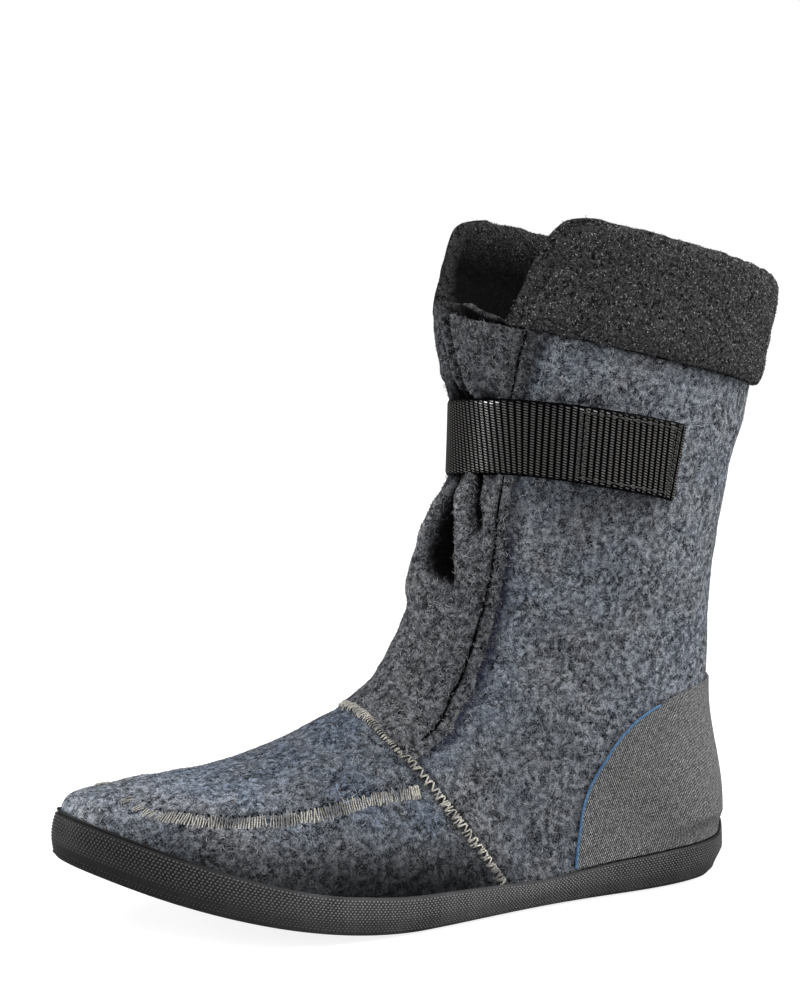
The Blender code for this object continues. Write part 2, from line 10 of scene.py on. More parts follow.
import bpy
import numpy as np
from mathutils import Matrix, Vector

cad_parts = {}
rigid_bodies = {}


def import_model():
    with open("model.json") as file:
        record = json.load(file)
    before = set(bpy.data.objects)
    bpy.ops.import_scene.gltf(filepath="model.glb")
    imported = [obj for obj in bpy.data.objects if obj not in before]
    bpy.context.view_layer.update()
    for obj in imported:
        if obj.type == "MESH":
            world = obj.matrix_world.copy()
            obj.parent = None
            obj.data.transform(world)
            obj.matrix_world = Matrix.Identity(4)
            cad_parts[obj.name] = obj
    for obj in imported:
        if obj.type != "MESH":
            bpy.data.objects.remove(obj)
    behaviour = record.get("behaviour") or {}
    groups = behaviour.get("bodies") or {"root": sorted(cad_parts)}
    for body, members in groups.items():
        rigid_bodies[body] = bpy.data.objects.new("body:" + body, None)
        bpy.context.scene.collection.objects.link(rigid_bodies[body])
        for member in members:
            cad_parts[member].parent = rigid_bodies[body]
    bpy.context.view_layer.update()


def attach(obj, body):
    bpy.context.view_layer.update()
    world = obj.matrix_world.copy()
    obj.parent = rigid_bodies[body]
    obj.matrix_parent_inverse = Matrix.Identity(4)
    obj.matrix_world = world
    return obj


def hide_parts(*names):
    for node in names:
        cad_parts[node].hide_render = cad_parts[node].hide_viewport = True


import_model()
RANDOM = np.random.default_rng(11)
MM = 0.001

# Camera and light, in metres
CAMERA_AT = (0.5798, 0.9389, 0.2893)
CAMERA_AIM = (0.0934, -0.0162, 0.1566)
CAMERA_LENS = 98.5
AMBIENT = 0.17
FLOOR_SIZE, FLOOR_TONE, FLOOR_GLOW = 6.0, 0.42, 0.84
SUN_FROM, SUN_ANGLE, SUN_POWER = (0.45, 0.1, 1.0), 60.0, 1.6
LAMPS = (
    ("toe_side", (1.15, -0.4, 0.32), (0.07, 0.0, 0.18), 0.6, 9.0),
    ("heel_side", (-0.9, 0.4, 1.0), (0.0, 0.0, 0.2), 0.8, 18.0),
    ("front", (0.25, 1.7, 0.8), (0.05, 0.0, 0.12), 1.0, 7.0),
)

# Sizes of the solids, in millimetres
SOLE_LENGTH = 285.0
HEEL_CENTRE, HEEL_RADIUS = 45.0, 36.0
TOE_Y = -14.0
TOE_SPRING = 29.0
SPRING_START = 160.0
SPRING_POWER = 1.75
ARCH_RISE = 2.2
ARCH_FROM, ARCH_TO = 86.0, 142.0
SOLE_FLOOR = 5.0
RIM_HEIGHT = 15.0
TOE_RIM_EXTRA = 4.0
RIM_WALL = 2.6
RIM_GAP = 0.7
UPPER_RISE = 1.4
TOE_EDGE_X = SOLE_LENGTH - RIM_WALL - RIM_GAP
EDGE_INSET = RIM_WALL + RIM_GAP
EDGE_HEIGHT = SOLE_FLOOR + UPPER_RISE
FELT = 4.0
COUNTER_THICK = 1.0
COUNTER_LIFT = 0.7
COUNTER_RISE = 0.9
GUSSET_THICK = 2.2
GUSSET_LIFT = 1.0
INNER_REACH = 0.68
GUSSET_LAP = 5.0
SEAM_DIP = 2.6
CUFF_OUT = 3.5
CUFF_IN = 3.0
CUFF_CROWN = 0.07
CUFF_INNER_DROP = 0.055
SHAFT_TOP = 0.03
STRAP_WIDTH = 30.0
STRAP_THICK = 1.6
STRAP_LIFT = 0.9
STRAP_END_X, STRAP_INNER_END_X = 51.0, 58.0
BAND_SHEAR = 0.15
PATCH_FROM_X, PATCH_TO_X = 53.0, 88.0
PATCH_WIDTH = 25.0
PATCH_DROP = 2.6
PATCH_THICK = 2.0
PATCH_LIFT = 0.8
BACK_POWER = 2.1
BULGE = 30.0
LEG_SPLIT, FOOT_SPLIT = 0.5, 0.7
SPLINE_STEPS, RING_POINTS = 80, 2400

# Sizes of the details that the solids leave out, in millimetres
HEEL_LIP = 5.0
DOT_PITCH, DOT_ROW_PITCH, DOT_ROWS = 1.5, 0.95, 13
DOT_RADIUS, DOT_RISE = 0.56, 0.2
DOT_TOP, DOT_FLAT, DOT_SINK, DOT_SIDES, DOT_FADE = 0.9, 0.75, 0.12, 6, 0.9
WEAVE_PITCH, FLOAT_PITCH = 2.35, 1.05
TWILL_RIB, TWILL_FLOAT = 0.9, 1.3
STITCH_ROWS, STITCH_PITCH = (39.5, 3.2), 2.6
STITCH_LONG, STITCH_APART, STITCH_RADIUS = 1.9, 0.9, 0.4
STITCH_FROM, STITCH_TO, STITCH_SIDE = -12.5, 11.5, 12.6
STRAP_PINCH = 2.8
# Floats painted darker away from the strap's end, as painted shade, and lighter near it, as painted light:
# the share kept away from the end, and the length over which it changes
STRAP_SHADED, STRAP_SHADED_FADE = 0.5, 12.0
STRAP_EDGE = 1.3
HOOK_PITCH, HOOK_RISE = 1.6, 0.5
EDGING_RADIUS, EDGING_TOP = 0.6, 75.5
CUFF_SPEED, CUFF_ROLL = 130.0, 0.9
TOE_ROUND = 3.0
HEEL_BEVEL = 5.0
# How much paler the toe's felt is: partly wear, partly painted light on the toe's top
TOE_WORN_AND_LIT = 0.5
SEAM_GROOVE, SEAM_GROOVE_WIDTH, SEAM_GROOVE_DEPTH = 3.0, 0.8, 1.1
VAMP_EDGE_RISE, VAMP_EDGE_FRONT, VAMP_EDGE_BACK = 0.7, (-7, -1), (1.6, 2.6)
APRON_RISE, APRON_DIP, APRON_DIP_WIDTH = 0.6, 0.9, 2.6
EDGE_TAPER, EDGE_THIN, EDGE_LOW = 4.0, 0.45, 0.35
GROOVE_WIDTH, GROOVE_DEPTH, GROOVE_LINE = 0.5, 1.5, 1.5
LINING_MARGIN, LINING_DEPTH, LINING_THICK = 9.0, 1.6, 1.4
CUFF_HEIGHT = 44.0
HEM_SWELL, HEM_DIP, HEM_SEAM, HEM_SEAM_WIDTH = 2.5, 0.8, 5.0, 1.2
HOLE_PITCH, HOLE_SHARE, HOLE_OFFSET, HOLE_RADIUS, HOLE_LIFT = 2.3, 0.8, 2.6, 0.45, 0.3

# Lumps of the felt, the gusset and the cuff: height and size of the bumps, and a seed
FELT_LUMPS = ((0.35, 16.0, 3), (0.2, 6.0, 4))
GUSSET_LUMPS = ((0.22, 5.0, 8),)
CUFF_LUMPS = ((0.35, 4.0, 12), (0.25, 9.0, 13))

# Loose fibres: how many, then length, width, lift and lean of one, and how rare the bright ones are
FIBRES = {
    "upper": (48000, (2.3, 0.18, 0.25, 0.0), 3.2),
    "gusset": (15000, (2.0, 0.2, 0.25, 0.0), 3.0),
    "cuff": (32000, (1.1, 0.2, 0.5, 0.6), 3.4),
}
FIBRE_LONG, FIBRE_HIGH, FIBRE_WIDE = (0.55, 1.45), (0.3, 1.5), (0.6, 1.4)
FIBRE_BEND, FIBRE_SINK, FIBRE_TAPER = 0.28, 0.05, (0.5, 0.5, 0.2)

# Stitches: half-width, lift, radius and share kept; on the vamp's seam their distance comes first
SEAM_ZIGZAG = (1.65, 2.1, 0.9, 0.36)
SEAM_LOW_ZIGZAG = (0.9, 1.9, 0.8, 0.32)
SEAM_LOOSE = (1.4, 1.9, 0.75, 0.26, 0.55)
SEAM_FRONT = (1.0, 2.1, 0.8, 0.22, 0.9)
APRON_SEWN = (2.7, 0.5, 0.22, 0.95)
APRON_LOOSE = (2.3, 0.5, 0.17, 0.8)
TACK_THREADS, TACK_HALF, TACK_RADIUS, TACK_LIFT = 4, 2.7, 0.36, 0.75

# How dark the upper's felt is in places, from 0 to 1. Mostly painted shade: in the vamp seam's groove,
# under its threads, in the apron seam's dip and in a line above it, beside the gusset's edge and under the
# strap; low on the vamp it is partly painted shade and partly darker felt, and the middle of the vamp is
# darker felt
SHADE = {
    "vamp_middle": 0.35,
    "vamp_low": 0.57,
    "seam_groove": 0.95,
    "under_thread": 0.75,
    "quarter_low": 0.36,
    "apron_seam": 0.5,
    "apron_shadow_line": 0.95,
    "beside_gusset": 0.6,
    "under_strap": 0.38,
}
# Strength of the painted blue-violet shadow beside the gusset's edge
EDGE_SHADOW = 0.75
FAR = 99.0

# Places t between which the toe, the vamp and the quarters pass into each other
TOE_FADE, VAMP_FADE, QUARTER_FADE = (1.0, 3.2), (5.8, 6.1), (6.0, 7.0)

# How much lower the rim is at the waist: distance forward and millimetres
RIM_DIP = (
    (40.0, 0.0),
    (66.0, 1.2),
    (87.0, 3.0),
    (104.0, 3.9),
    (122.0, 2.8),
    (145.0, 1.6),
    (185.0, 0.0),
)

# Outline of the sole: distance forward, then the outer and the inner edge
SOLE_COLUMNS = ("along", "outer", "inner")
SOLE = (
    (3.5, 12.5, -12.5),
    (16.0, 25.5, -25.0),
    (43.0, 35.0, -33.5),
    (80.0, 37.0, -32.0),
    (114.0, 40.5, -30.0),
    (148.0, 46.5, -34.0),
    (180.0, 50.0, -43.0),
    (211.0, 48.0, -48.0),
    (242.0, 37.5, -47.0),
    (263.0, 22.5, -41.5),
    (277.0, 5.5, -31.5),
    (283.5, -6.0, -21.5),
)

# Steps of the sole's side: how far in from the outline, height, from the rim's top or not, share of the arch
SOLE_RINGS = (
    (6.0, 0.0, False, 1.0),
    (1.8, 0.9, False, 1.0),
    (0.5, 3.4, False, 0.4),
    (0.0, 8.0, False, 0.0),
    (0.3, -1.6, True, 0.0),
    (0.9, 0.0, True, 0.0),
    (2.1, 0.0, True, 0.0),
    (RIM_WALL, -0.6, True, 0.0),
    (RIM_WALL, SOLE_FLOOR, False, 0.0),
)

# Sections of the upper's outer face, each a slice from the top line to the lower line
SECTION_COLUMNS = (
    "top_x", "top_z", "low_x", "low_z", "ridge", "outer", "inner", "foot", "widest", "power", "round"
)
SECTIONS = {
    "toe_tip": (281.6, 49.0, TOE_EDGE_X, 0.0, TOE_Y, 20, 20, 1.0, 0.60, 2.3, 40),
    "toe_cap": (276.0, 53.0, 275.5, 0.0, -13.5, 25, 25, 1.0, 0.62, 2.4, 40),
    "toes": (254.0, 55.5, 252.0, 0.0, -11.0, 35, 35, 1.0, 0.66, 2.4, 40),
    "joint": (226.0, 57.5, 222.0, 0.0, -8.5, 44, 40, 1.0, 0.70, 2.3, 40),
    "ball": (200.0, 64.0, 186.0, 0.0, -6.5, 48, 40, 1.0, 0.74, 2.15, 40),
    "waist": (183.0, 72.0, 152.0, 0.0, -5.5, 42, 33, 1.0, 0.78, 2.05, 40),
    "vamp_seam": (168.0, 78.5, 122.0, 0.0, -5.0, 38, 30, 1.0, 0.80, 2.0, 40),
    "instep": (153.0, 87.0, 86.0, 0.0, -4.0, 36.5, 31.0, 0.75, 0.78, 2.0, 40),
    "arch": (145.5, 98.0, 46.0, 0.0, -3.0, 35.5, 32.5, 0.3, 0.70, 2.0, 40),
    "heel_side": (140.0, 109.0, 14.0, 0.0, -2.0, 35.0, 33.5, 0.0, 0.62, 2.0, 40),
    "heel": (137.5, 116.0, EDGE_INSET, EDGE_HEIGHT, -1.5, 35.0, 33.5, 0.0, 0.60, 2.0, 40),
    "heel_cup": (135.5, 124.0, 3.8, 30.0, -1.2, 35.0, 33.5, 0.0, 0.58, 2.0, 41),
    "counter_top": (129.5, 143.0, 11.0, 77.0, 0.0, 36.5, 35.5, 0.0, 0.55, 2.0, 48),
    "ankle": (122.5, 157.0, 10.0, 112.0, 0.0, 40.0, 39.5, 0.0, 0.54, 2.05, 54),
    "strap": (114.5, 182.0, 3.0, 165.0, 0.0, 44.5, 44.0, 0.0, 0.53, 2.15, 57),
    "leg": (119.5, 208.0, -4.2, 186.0, 0.0, 45.5, 45.0, 0.0, 0.53, 2.3, 60),
    "collar": (122.0, 230.0, -7.0, 199.0, 0.0, 46.0, 45.5, 0.0, 0.53, 2.4, 62),
    "top": (118.0, 277.0, -16.0, 238.0, 0.0, 47.0, 46.5, 0.0, 0.53, 2.4, 64),
    "above": (114.0, 320.0, -24.0, 277.0, 0.0, 48.0, 47.5, 0.0, 0.53, 2.4, 66),
}
ROW = {name: float(i) for i, name in enumerate(SECTIONS)}
KEYS = np.arange(len(SECTIONS), dtype=float)
COLUMN = dict(zip(SECTION_COLUMNS, np.array(list(SECTIONS.values()), float).T))

# Cuff: height share, then how far it stands out, round the edge of one slice
CUFF_RING = (
    (0.00, -CUFF_IN),
    (-0.01, 0.0),
    (-0.01, CUFF_OUT - 1.0),
    (0.04, CUFF_OUT),
    (0.35, CUFF_OUT + 0.5),
    (0.70, CUFF_OUT + 0.5),
    (0.93, CUFF_OUT - 0.3),
    (0.99, CUFF_OUT - 1.8),
    (1.00, 0.2),
    (0.99, 1.6 - CUFF_IN),
    (0.93, -CUFF_IN),
    (0.70, -CUFF_IN),
    (0.40, -CUFF_IN),
)
CUFF_EDGE = ((0.0, 114.0), (0.3, 110.0), (0.7, 103.0), (0.93, 95.0), (1.0, 86.0))

# Reach of the gusset's edge from the boot's middle plane, in the sections that it covers
GUSSET_REACH = {
    "vamp_seam": 26.5,
    "instep": 22.0,
    "arch": 20.0,
    "heel": 20.5,
    "heel_cup": 21.5,
    "counter_top": 24.0,
    "ankle": 23.5,
    "strap": 23.0,
    "leg": 30.0,
    "collar": 35.5,
}

# The sewn groove beside the gusset's edge: how far in from the edge, in some sections
GROOVE_IN = {
    "vamp_seam": 2.4,
    "instep": 2.2,
    "heel_cup": 2.2,
    "ankle": 2.8,
    "strap": 3.3,
    "collar": 3.3,
}

# Front edge of the heel counter in side view, from its top at the back down to the sole: height and x
COUNTER_EDGE = (
    (9.0, 87.5),
    (36.0, 83.5),
    (56.0, 73.0),
    (70.0, 60.0),
    (77.0, 45.0),
    (80.5, 28.0),
    (81.5, 6.0),
)

# Folds of the gusset: y of the fold, half-width, height, the heights between which it shows, and how far it
# moves outwards for each millimetre down
FOLDS = {
    "front_ridge": (-5.0, 8.0, 3.0, 112.0, 166.0, 0.0),
    "side_ridge": (0.9, 4.0, 1.8, 132.0, 182.0, 0.33),
    "side_valley": (3.7, 2.4, -4.4, 140.0, 186.0, 0.33),
    "edge_ridge": (8.4, 3.0, 0.8, 144.0, 184.0, 0.33),
    "inner_valley": (-10.5, 4.5, -3.0, 122.0, 170.0, 0.0),
    "upper_fold": (-3.5, 5.0, -4.6, 180.0, 236.0, 0.23),
    "upper_front_fold": (-12.0, 3.4, -2.8, 184.0, 228.0, 0.3),
    "upper_ridge": (-1.6, 3.8, 2.2, 188.0, 238.0, 0.28),
}
FOLD_FADE = 14.0

# The hollow under the strap: height, y of the fold that overhangs it, width and depth
HOLLOW_COLUMNS = ("height", "edge", "width", "depth")
HOLLOW = (
    (122.0, 12.7, 6.0, 0.0),
    (127.0, 13.3, 9.5, 4.0),
    (131.0, 13.7, 15.0, 11.0),
    (137.0, 13.3, 17.0, 13.5),
    (145.0, 11.9, 15.0, 13.5),
    (155.0, 7.8, 12.0, 13.0),
    (166.0, 1.6, 8.0, 11.0),
    (173.0, -2.0, 6.0, 8.0),
    (182.0, -7.0, 3.0, 0.0),
)

# How much higher the gusset's top edge is: y and millimetres, and the step of t for a millimetre
TOP_RISE = (
    (-24.0, 3.6),
    (-13.0, 3.6),
    (-8.0, 2.8),
    (0.0, 1.5),
    (6.0, 0.7),
    (15.0, -0.1),
    (24.0, -0.2),
    (33.0, -0.3),
)
TOP_STEP = 0.035

# Middle line of the strap: place u round the leg and height
STRAP_LINE = (
    (-0.35, 176.0),
    (-0.18, 178.5),
    (-0.10, 180.4),
    (0.0, 182.4),
    (0.061, 183.6),
    (0.172, 184.6),
    (0.275, 183.2),
    (0.43, 178.2),
    (0.557, 172.2),
    (0.62, 169.6),
)

# The apron seam over the toes: places t and u on the upper, from the outer side round the toe
APRON = (
    (5.80, 0.448),
    (4.41, 0.413),
    (3.63, 0.413),
    (3.03, 0.408),
    (2.45, 0.413),
    (2.10, 0.395),
    (1.81, 0.350),
    (1.67, 0.228),
    (1.62, 0.060),
    (1.67, -0.150),
    (1.85, -0.310),
    (2.20, -0.380),
    (3.00, -0.400),
    (4.40, -0.400),
    (5.80, -0.430),
)
SEAM_T, SEAM_BACK = 6.04, 0.11
APRON_STITCH, APRON_END, APRON_LOOSE_END = 1.0, 2.0, 1.65


def curve_slopes(keys, values):
    """Slopes for a smooth curve through the points that never overshoots them."""
    step = np.diff(keys)
    rate = np.diff(values) / step
    before, after = rate[:-1], rate[1:]
    same = before * after > 0
    near, far = 2 * step[1:] + step[:-1], step[1:] + 2 * step[:-1]
    mean = (near + far) / (near / np.where(same, before, 1) + far / np.where(same, after, 1))
    return np.concatenate([rate[:1], np.where(same, mean, 0), rate[-1:]])


def hermite(first, second, go, come, s):
    """Smooth step from first to second, with these slopes at its ends."""
    ends = first * (1 + 2 * s) * (1 - s) ** 2 + second * s**2 * (3 - 2 * s)
    return ends + go * s * (1 - s) ** 2 - come * s**2 * (1 - s)


def smooth(keys, values, at):
    """Value on the smooth curve through the points (keys, values)."""
    keys, values = np.asarray(keys, float), np.asarray(values, float)
    slope = curve_slopes(keys, values)
    at = np.clip(at, keys[0], keys[-1])
    i = np.clip(np.searchsorted(keys, at, side="right") - 1, 0, len(keys) - 2)
    step = keys[i + 1] - keys[i]
    return hermite(values[i], values[i + 1], step * slope[i], step * slope[i + 1], (at - keys[i]) / step)


def table_at(table, at):
    """Value on the smooth curve through a table of places and values."""
    return smooth(*zip(*table), at)


def by_section(table, t):
    """Value at a place t, from a table by the names of sections."""
    return smooth([ROW[name] for name in table], list(table.values()), t)


def ease(low, high, at):
    """0 below low, 1 above high, and a smooth step between."""
    s = np.clip((at - low) / (high - low), 0, 1)
    return s * s * (3 - 2 * s)


def hump(at, half):
    """A soft bump of height 1 that ends half to either side of 0."""
    return np.clip(1 - (at / half) ** 2, 0, None) ** 2


def bell(at, middle, width):
    """A soft bump of height 1 round a middle, with long tails."""
    return np.exp(-(((at - middle) / width) ** 2))


def unit(vectors):
    """The same directions with length 1."""
    return vectors / np.linalg.norm(vectors, axis=-1, keepdims=True)


def running_length(points):
    """Distance of each point along a line from its start."""
    return np.concatenate([[0], np.cumsum(np.linalg.norm(np.diff(points, axis=0), axis=1))])


def between(at, keys, points):
    """Points at places along a line whose own points are at keys."""
    return np.stack([np.interp(at, keys, points[:, k]) for k in range(points.shape[1])], axis=-1)


def ripple(points, size, seed):
    """A smooth irregular field between about -1 and 1 with bumps of a given size."""
    draw = np.random.default_rng(seed)
    total = 0
    for _ in range(9):
        way = draw.normal(size=3)
        way *= draw.uniform(0.7, 1.4) / np.linalg.norm(way) * 2 * math.pi / (2 * size)
        total = total + np.cos(points @ way + draw.uniform(0, 2 * math.pi))
    return total / 3.5


def lumps(points, table):
    """Height of several such fields together."""
    return sum(rise * ripple(points, size, seed) for rise, size, seed in table)


def underside(x):
    """Height of the sole's underside: flat at heel and forefoot, rising to the toe."""
    along = np.clip((x - SPRING_START) / (SOLE_LENGTH - SPRING_START), 0, None)
    return TOE_SPRING * along**SPRING_POWER


def arch(x, y):
    along = np.clip((x - ARCH_FROM) / (ARCH_TO - ARCH_FROM), 0, 1)
    return ARCH_RISE * np.sin(math.pi * along) ** 2 * ease(-5.0, 25.0, -y)


def rim_top(x):
    return underside(x) + RIM_HEIGHT + TOE_RIM_EXTRA * ease(190.0, 275.0, x) - table_at(RIM_DIP, x)


def closed_spline(points, count):
    """Evenly spaced points on a smooth closed curve through the given ones."""
    p = np.asarray(points, float)
    n = len(p)
    gap = np.linalg.norm(np.roll(p, -1, 0) - p, axis=1)
    before = np.roll(gap, 1)
    rate = (np.roll(p, -1, 0) - p) / gap[:, None]
    rows = np.diag(2 * (gap + before))
    for i in range(n):
        rows[i, i - 1] = gap[i]
        rows[i, (i + 1) % n] = before[i]
    slope = np.linalg.solve(rows, 3 * (gap[:, None] * np.roll(rate, 1, 0) + before[:, None] * rate))
    s = np.linspace(0, 1, SPLINE_STEPS, endpoint=False)[:, None]
    pieces = []
    for i in range(n):
        after = (i + 1) % n
        pieces.append(hermite(p[i], p[after], slope[i] * gap[i], slope[after] * gap[i], s))
    ring = np.vstack(pieces + [p[:1]])
    length = running_length(ring)
    return between(np.linspace(0, length[-1], count, endpoint=False), length, ring)


def sole_ring():
    """The sole's outline, from the heel's back along the outer side to the toe and back."""
    column = dict(zip(SOLE_COLUMNS, np.array(SOLE).T))
    outer = np.column_stack([column["along"], column["outer"]])
    inner = np.column_stack([column["along"], column["inner"]])[::-1]
    return closed_spline(np.vstack([[(0, 0)], outer, [(SOLE_LENGTH, TOE_Y)], inner]), RING_POINTS)


RING = sole_ring()
RING_AHEAD = np.roll(RING, -1, 0) - np.roll(RING, 1, 0)
RING_INWARD = unit(np.stack([RING_AHEAD[:, 1], -RING_AHEAD[:, 0]], 1))
TIP = int(np.argmax(RING[:, 0]))


def side_lines(inset):
    """Outer and inner half of the outline moved inwards, each from the heel's back to the toe tip."""
    ring = RING + inset * RING_INWARD
    return ring[: TIP + 1], np.vstack([ring[:1], ring[: TIP - 1 : -1]])


EDGE_OUTER, EDGE_INNER = side_lines(EDGE_INSET)


def back_line(z):
    """x of the back of the heel and leg, and the length over which it closes there."""
    heel = int(ROW["heel"])
    heights = COLUMN["low_z"][heel:]
    return smooth(heights, COLUMN["low_x"][heel:], z), smooth(heights, COLUMN["round"][heel:], z)


def section(t):
    """The table's columns at a place t between its rows."""
    row = {name: smooth(KEYS, values, t) for name, values in COLUMN.items()}
    row["open"] = t < ROW["heel"]
    row["low_x"] = np.where(row["open"], row["low_x"], back_line(row["low_z"])[0])
    row["low_z"] = np.where(row["open"], underside(row["low_x"]) + SOLE_FLOOR + UPPER_RISE, row["low_z"])
    row["low_y"] = row["ridge"] * (1 - ease(ROW["vamp_seam"], ROW["heel"], t))
    row["split"] = LEG_SPLIT + (FOOT_SPLIT - LEG_SPLIT) * row["foot"]
    return row


def edges_at(x):
    """y of the upper's bottom edge on the outer and on the inner side."""
    outer = np.interp(x, EDGE_OUTER[:, 0], EDGE_OUTER[:, 1])
    inner = np.interp(x, EDGE_INNER[:, 0], EDGE_INNER[:, 1])
    return outer, inner


def half_width(row, outer_side):
    """Half-width of a slice at its widest point, on one side."""
    outer, inner = edges_at(row["low_x"])
    end = np.where(outer_side, outer - row["low_y"], row["low_y"] - inner)
    own = np.where(outer_side, row["outer"], row["inner"])
    return row["foot"] * end + (1 - row["foot"]) * own


def back_closing(x, z):
    """Share of the half-width that is left near the back of the heel and leg: 0 at the back line."""
    back, length = back_line(z)
    gone = 1 - np.clip((x - back) / length, 0, 1)
    return np.where(x - back < 1e-6, 0, (1 - gone**BACK_POWER) ** (1 / BACK_POWER))


def form(t, u):
    """Point on the upper's outer face. t runs from the toe tip to the collar, u from the top line (0)
    to the lower line, 1 on the outer side of the foot and -1 on its inner side."""
    t, u = np.broadcast_arrays(np.asarray(t, float), np.asarray(u, float))
    row = section(t)
    u = np.where(np.abs(u) > 1, np.where(row["open"], np.sign(u), u - 2 * np.sign(u)), u)
    front = np.clip(np.abs(u) / row["split"], 0, 1) * math.pi / 2
    back = np.clip((np.abs(u) - row["split"]) / (1 - row["split"]), 0, 1) * math.pi / 2
    power = 2 / row["power"]
    along = row["widest"] * (1 - np.clip(np.cos(front), 0, 1) ** power)
    along = along + (1 - row["widest"]) * np.sin(back)
    x = row["top_x"] + (row["low_x"] - row["top_x"]) * along
    z = row["top_z"] + (row["low_z"] - row["top_z"]) * along
    half = half_width(row, u >= 0) * np.sin(front) ** power * back_closing(x, z)
    middle = row["ridge"] + (row["low_y"] - row["ridge"]) * along
    outer, inner = edges_at(x)
    bulge = np.clip(z - rim_top(x), 0, None) ** 2 / BULGE
    y = np.clip(middle + np.where(u >= 0, half, -half), inner - bulge, outer + bulge)
    return np.stack([x, y, z], axis=-1)


def along_form(t, u):
    """How the upper's face moves with t and with u."""
    step = 0.004
    t = np.asarray(t, float)
    low, high = np.maximum(t - step, 0), np.minimum(t + step, KEYS[-1])
    with_t = (form(high, u) - form(low, u)) / (high - low)[..., None]
    with_u = (form(t, u + step) - form(t, u - step)) / (2 * step)
    return with_t, with_u


def outward(t, u):
    """Unit normal of the upper's outer face; straight ahead at the very toe tip."""
    with_t, with_u = along_form(t, u)
    normal = np.cross(with_u, with_t)
    length = np.linalg.norm(normal, axis=-1)[..., None]
    return np.where(length > 1e-4, normal / np.maximum(length, 1e-4), (1.0, 0.0, 0.0))


def skin(t, u, out):
    """Point a distance out from the upper's outer face."""
    t, u, out = np.broadcast_arrays(np.asarray(t, float), np.asarray(u, float), np.asarray(out, float))
    return form(t, u) + outward(t, u) * out[..., None]


def shifted(t, u, move):
    """Places t, u that lie a small vector along the upper's face from the given ones."""
    with_t, with_u = along_form(t, u)
    tt, uu, tu = [(a * b).sum(-1) for a, b in ((with_t, with_t), (with_u, with_u), (with_t, with_u))]
    on_t, on_u = (with_t * move).sum(-1), (with_u * move).sum(-1)
    size = tt * uu - tu * tu
    return t + (on_t * uu - on_u * tu) / size, u + (on_u * tt - on_t * tu) / size


def even_rows(start, end, count):
    """Places t between two rows, evenly spaced over the upper's face."""
    t = np.linspace(start, end, 3000)
    top, low = form(t, 0.0), form(t, 1.0)
    step = 0.6 * np.linalg.norm(np.diff(top, axis=0), axis=1)
    step += np.linalg.norm(np.diff(low, axis=0), axis=1)
    length = np.concatenate([[0], np.cumsum(step)])
    return np.interp(np.linspace(0, length[-1], count + 1), length, t)


def u_at_y(t, side, reach):
    """Where a slice going down from its top line is this far from the boot's middle plane."""
    row = section(np.asarray(t, float))
    half = (reach - side * row["ridge"]) / half_width(row, side > 0)
    angle = np.arcsin(np.clip(half, 0, 1) ** (row["power"] / 2))
    return side * row["split"] * angle / (math.pi / 2)


def gusset_reach(t, side):
    """Reach of the gusset's edge from the boot's middle plane; its inner side is narrower over the foot."""
    inner = INNER_REACH + (1 - INNER_REACH) * ease(ROW["vamp_seam"], ROW["ankle"], t)
    return by_section(GUSSET_REACH, t) * np.where(side > 0, 1.0, inner)


def u_at_x(t, side, x):
    u = np.linspace(0, 1, 401)
    return side * np.interp(-x, -form(t, side * u)[:, 0], u)


def even_line(t, u, step):
    """Places t, u at even distances along a line on the upper's face."""
    length = running_length(form(t, u))
    at = np.linspace(0, length[-1], max(2, int(length[-1] / step)))
    return np.interp(at, length, t), np.interp(at, length, u)


# Meshes

def grid(rows, columns):
    """Faces of a grid of points, each row from the inner side round the front to the outer side."""
    i, j = np.meshgrid(np.arange(rows - 1), np.arange(columns - 1), indexing="ij")
    a = (i * columns + j).ravel()
    return np.column_stack([a, a + 1, a + columns + 1, a + columns])


def tube_grid(rows, columns):
    """Faces of rows of points that each close into a ring."""
    i, j = np.meshgrid(np.arange(rows - 1), np.arange(columns), indexing="ij")
    a, b = i * columns + j, i * columns + (j + 1) % columns
    return np.stack([a, b, b + columns, a + columns], -1).reshape(-1, 4)


def weld(points, faces):
    """Numbers of the points to keep where several lie on each other, and the faces between them."""
    _, first, index = np.unique(np.round(points, 3), axis=0, return_index=True, return_inverse=True)
    faces = index.reshape(-1)[faces]
    ordered = np.sort(faces, axis=1)
    whole = (np.diff(ordered, axis=1) > 0).all(axis=1)
    return first, faces[whole]


def wall(outer, inner, faces):
    """Points and faces of a closed wall between two matching sheets."""
    count = len(outer)
    start = faces.ravel()
    end = np.roll(faces, -1, axis=1).ravel()
    open_edge = ~np.isin(start * count + end, end * count + start)
    a, b = start[open_edge], end[open_edge]
    rim = np.column_stack([b, a, a + count, b + count])
    return np.vstack([outer, inner]), np.vstack([faces, rim, faces[:, ::-1] + count])


def new_object(name, data):
    obj = bpy.data.objects.new(name, data)
    bpy.context.scene.collection.objects.link(obj)
    return obj


def add_piece(name, points, faces, material, slot, nodes=(), values=None, sharp=None):
    """A mesh of the boot from points in millimetres, with named values at its points."""
    mesh = bpy.data.meshes.new(name)
    placed = (np.asarray(points, float) - (HEEL_CENTRE, 0, 0)) * MM
    mesh.from_pydata(placed.tolist(), [], [list(map(int, face)) for face in faces])
    mesh.shade_smooth()
    if sharp:
        mesh.set_sharp_from_angle(angle=math.radians(sharp))
    for key, numbers in (values or {}).items():
        kind, field = ("FLOAT_VECTOR", "vector") if np.ndim(numbers) == 2 else ("FLOAT", "value")
        layer = mesh.attributes.new(key, kind, "POINT")
        layer.data.foreach_set(field, np.asarray(numbers, np.float32).ravel())
    mesh.materials.append(material)
    obj = new_object(name, mesh)
    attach(obj, "root")
    if nodes:
        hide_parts(*nodes)
    return obj


def add_wall(name, outer, inner, faces, material, slot, nodes, values, sharp=None):
    """A closed wall between two matching sheets, with the same named values on both."""
    both = {key: np.concatenate([numbers, numbers]) for key, numbers in values.items()}
    add_piece(name, *wall(outer, inner, faces), material, slot, nodes, both, sharp)


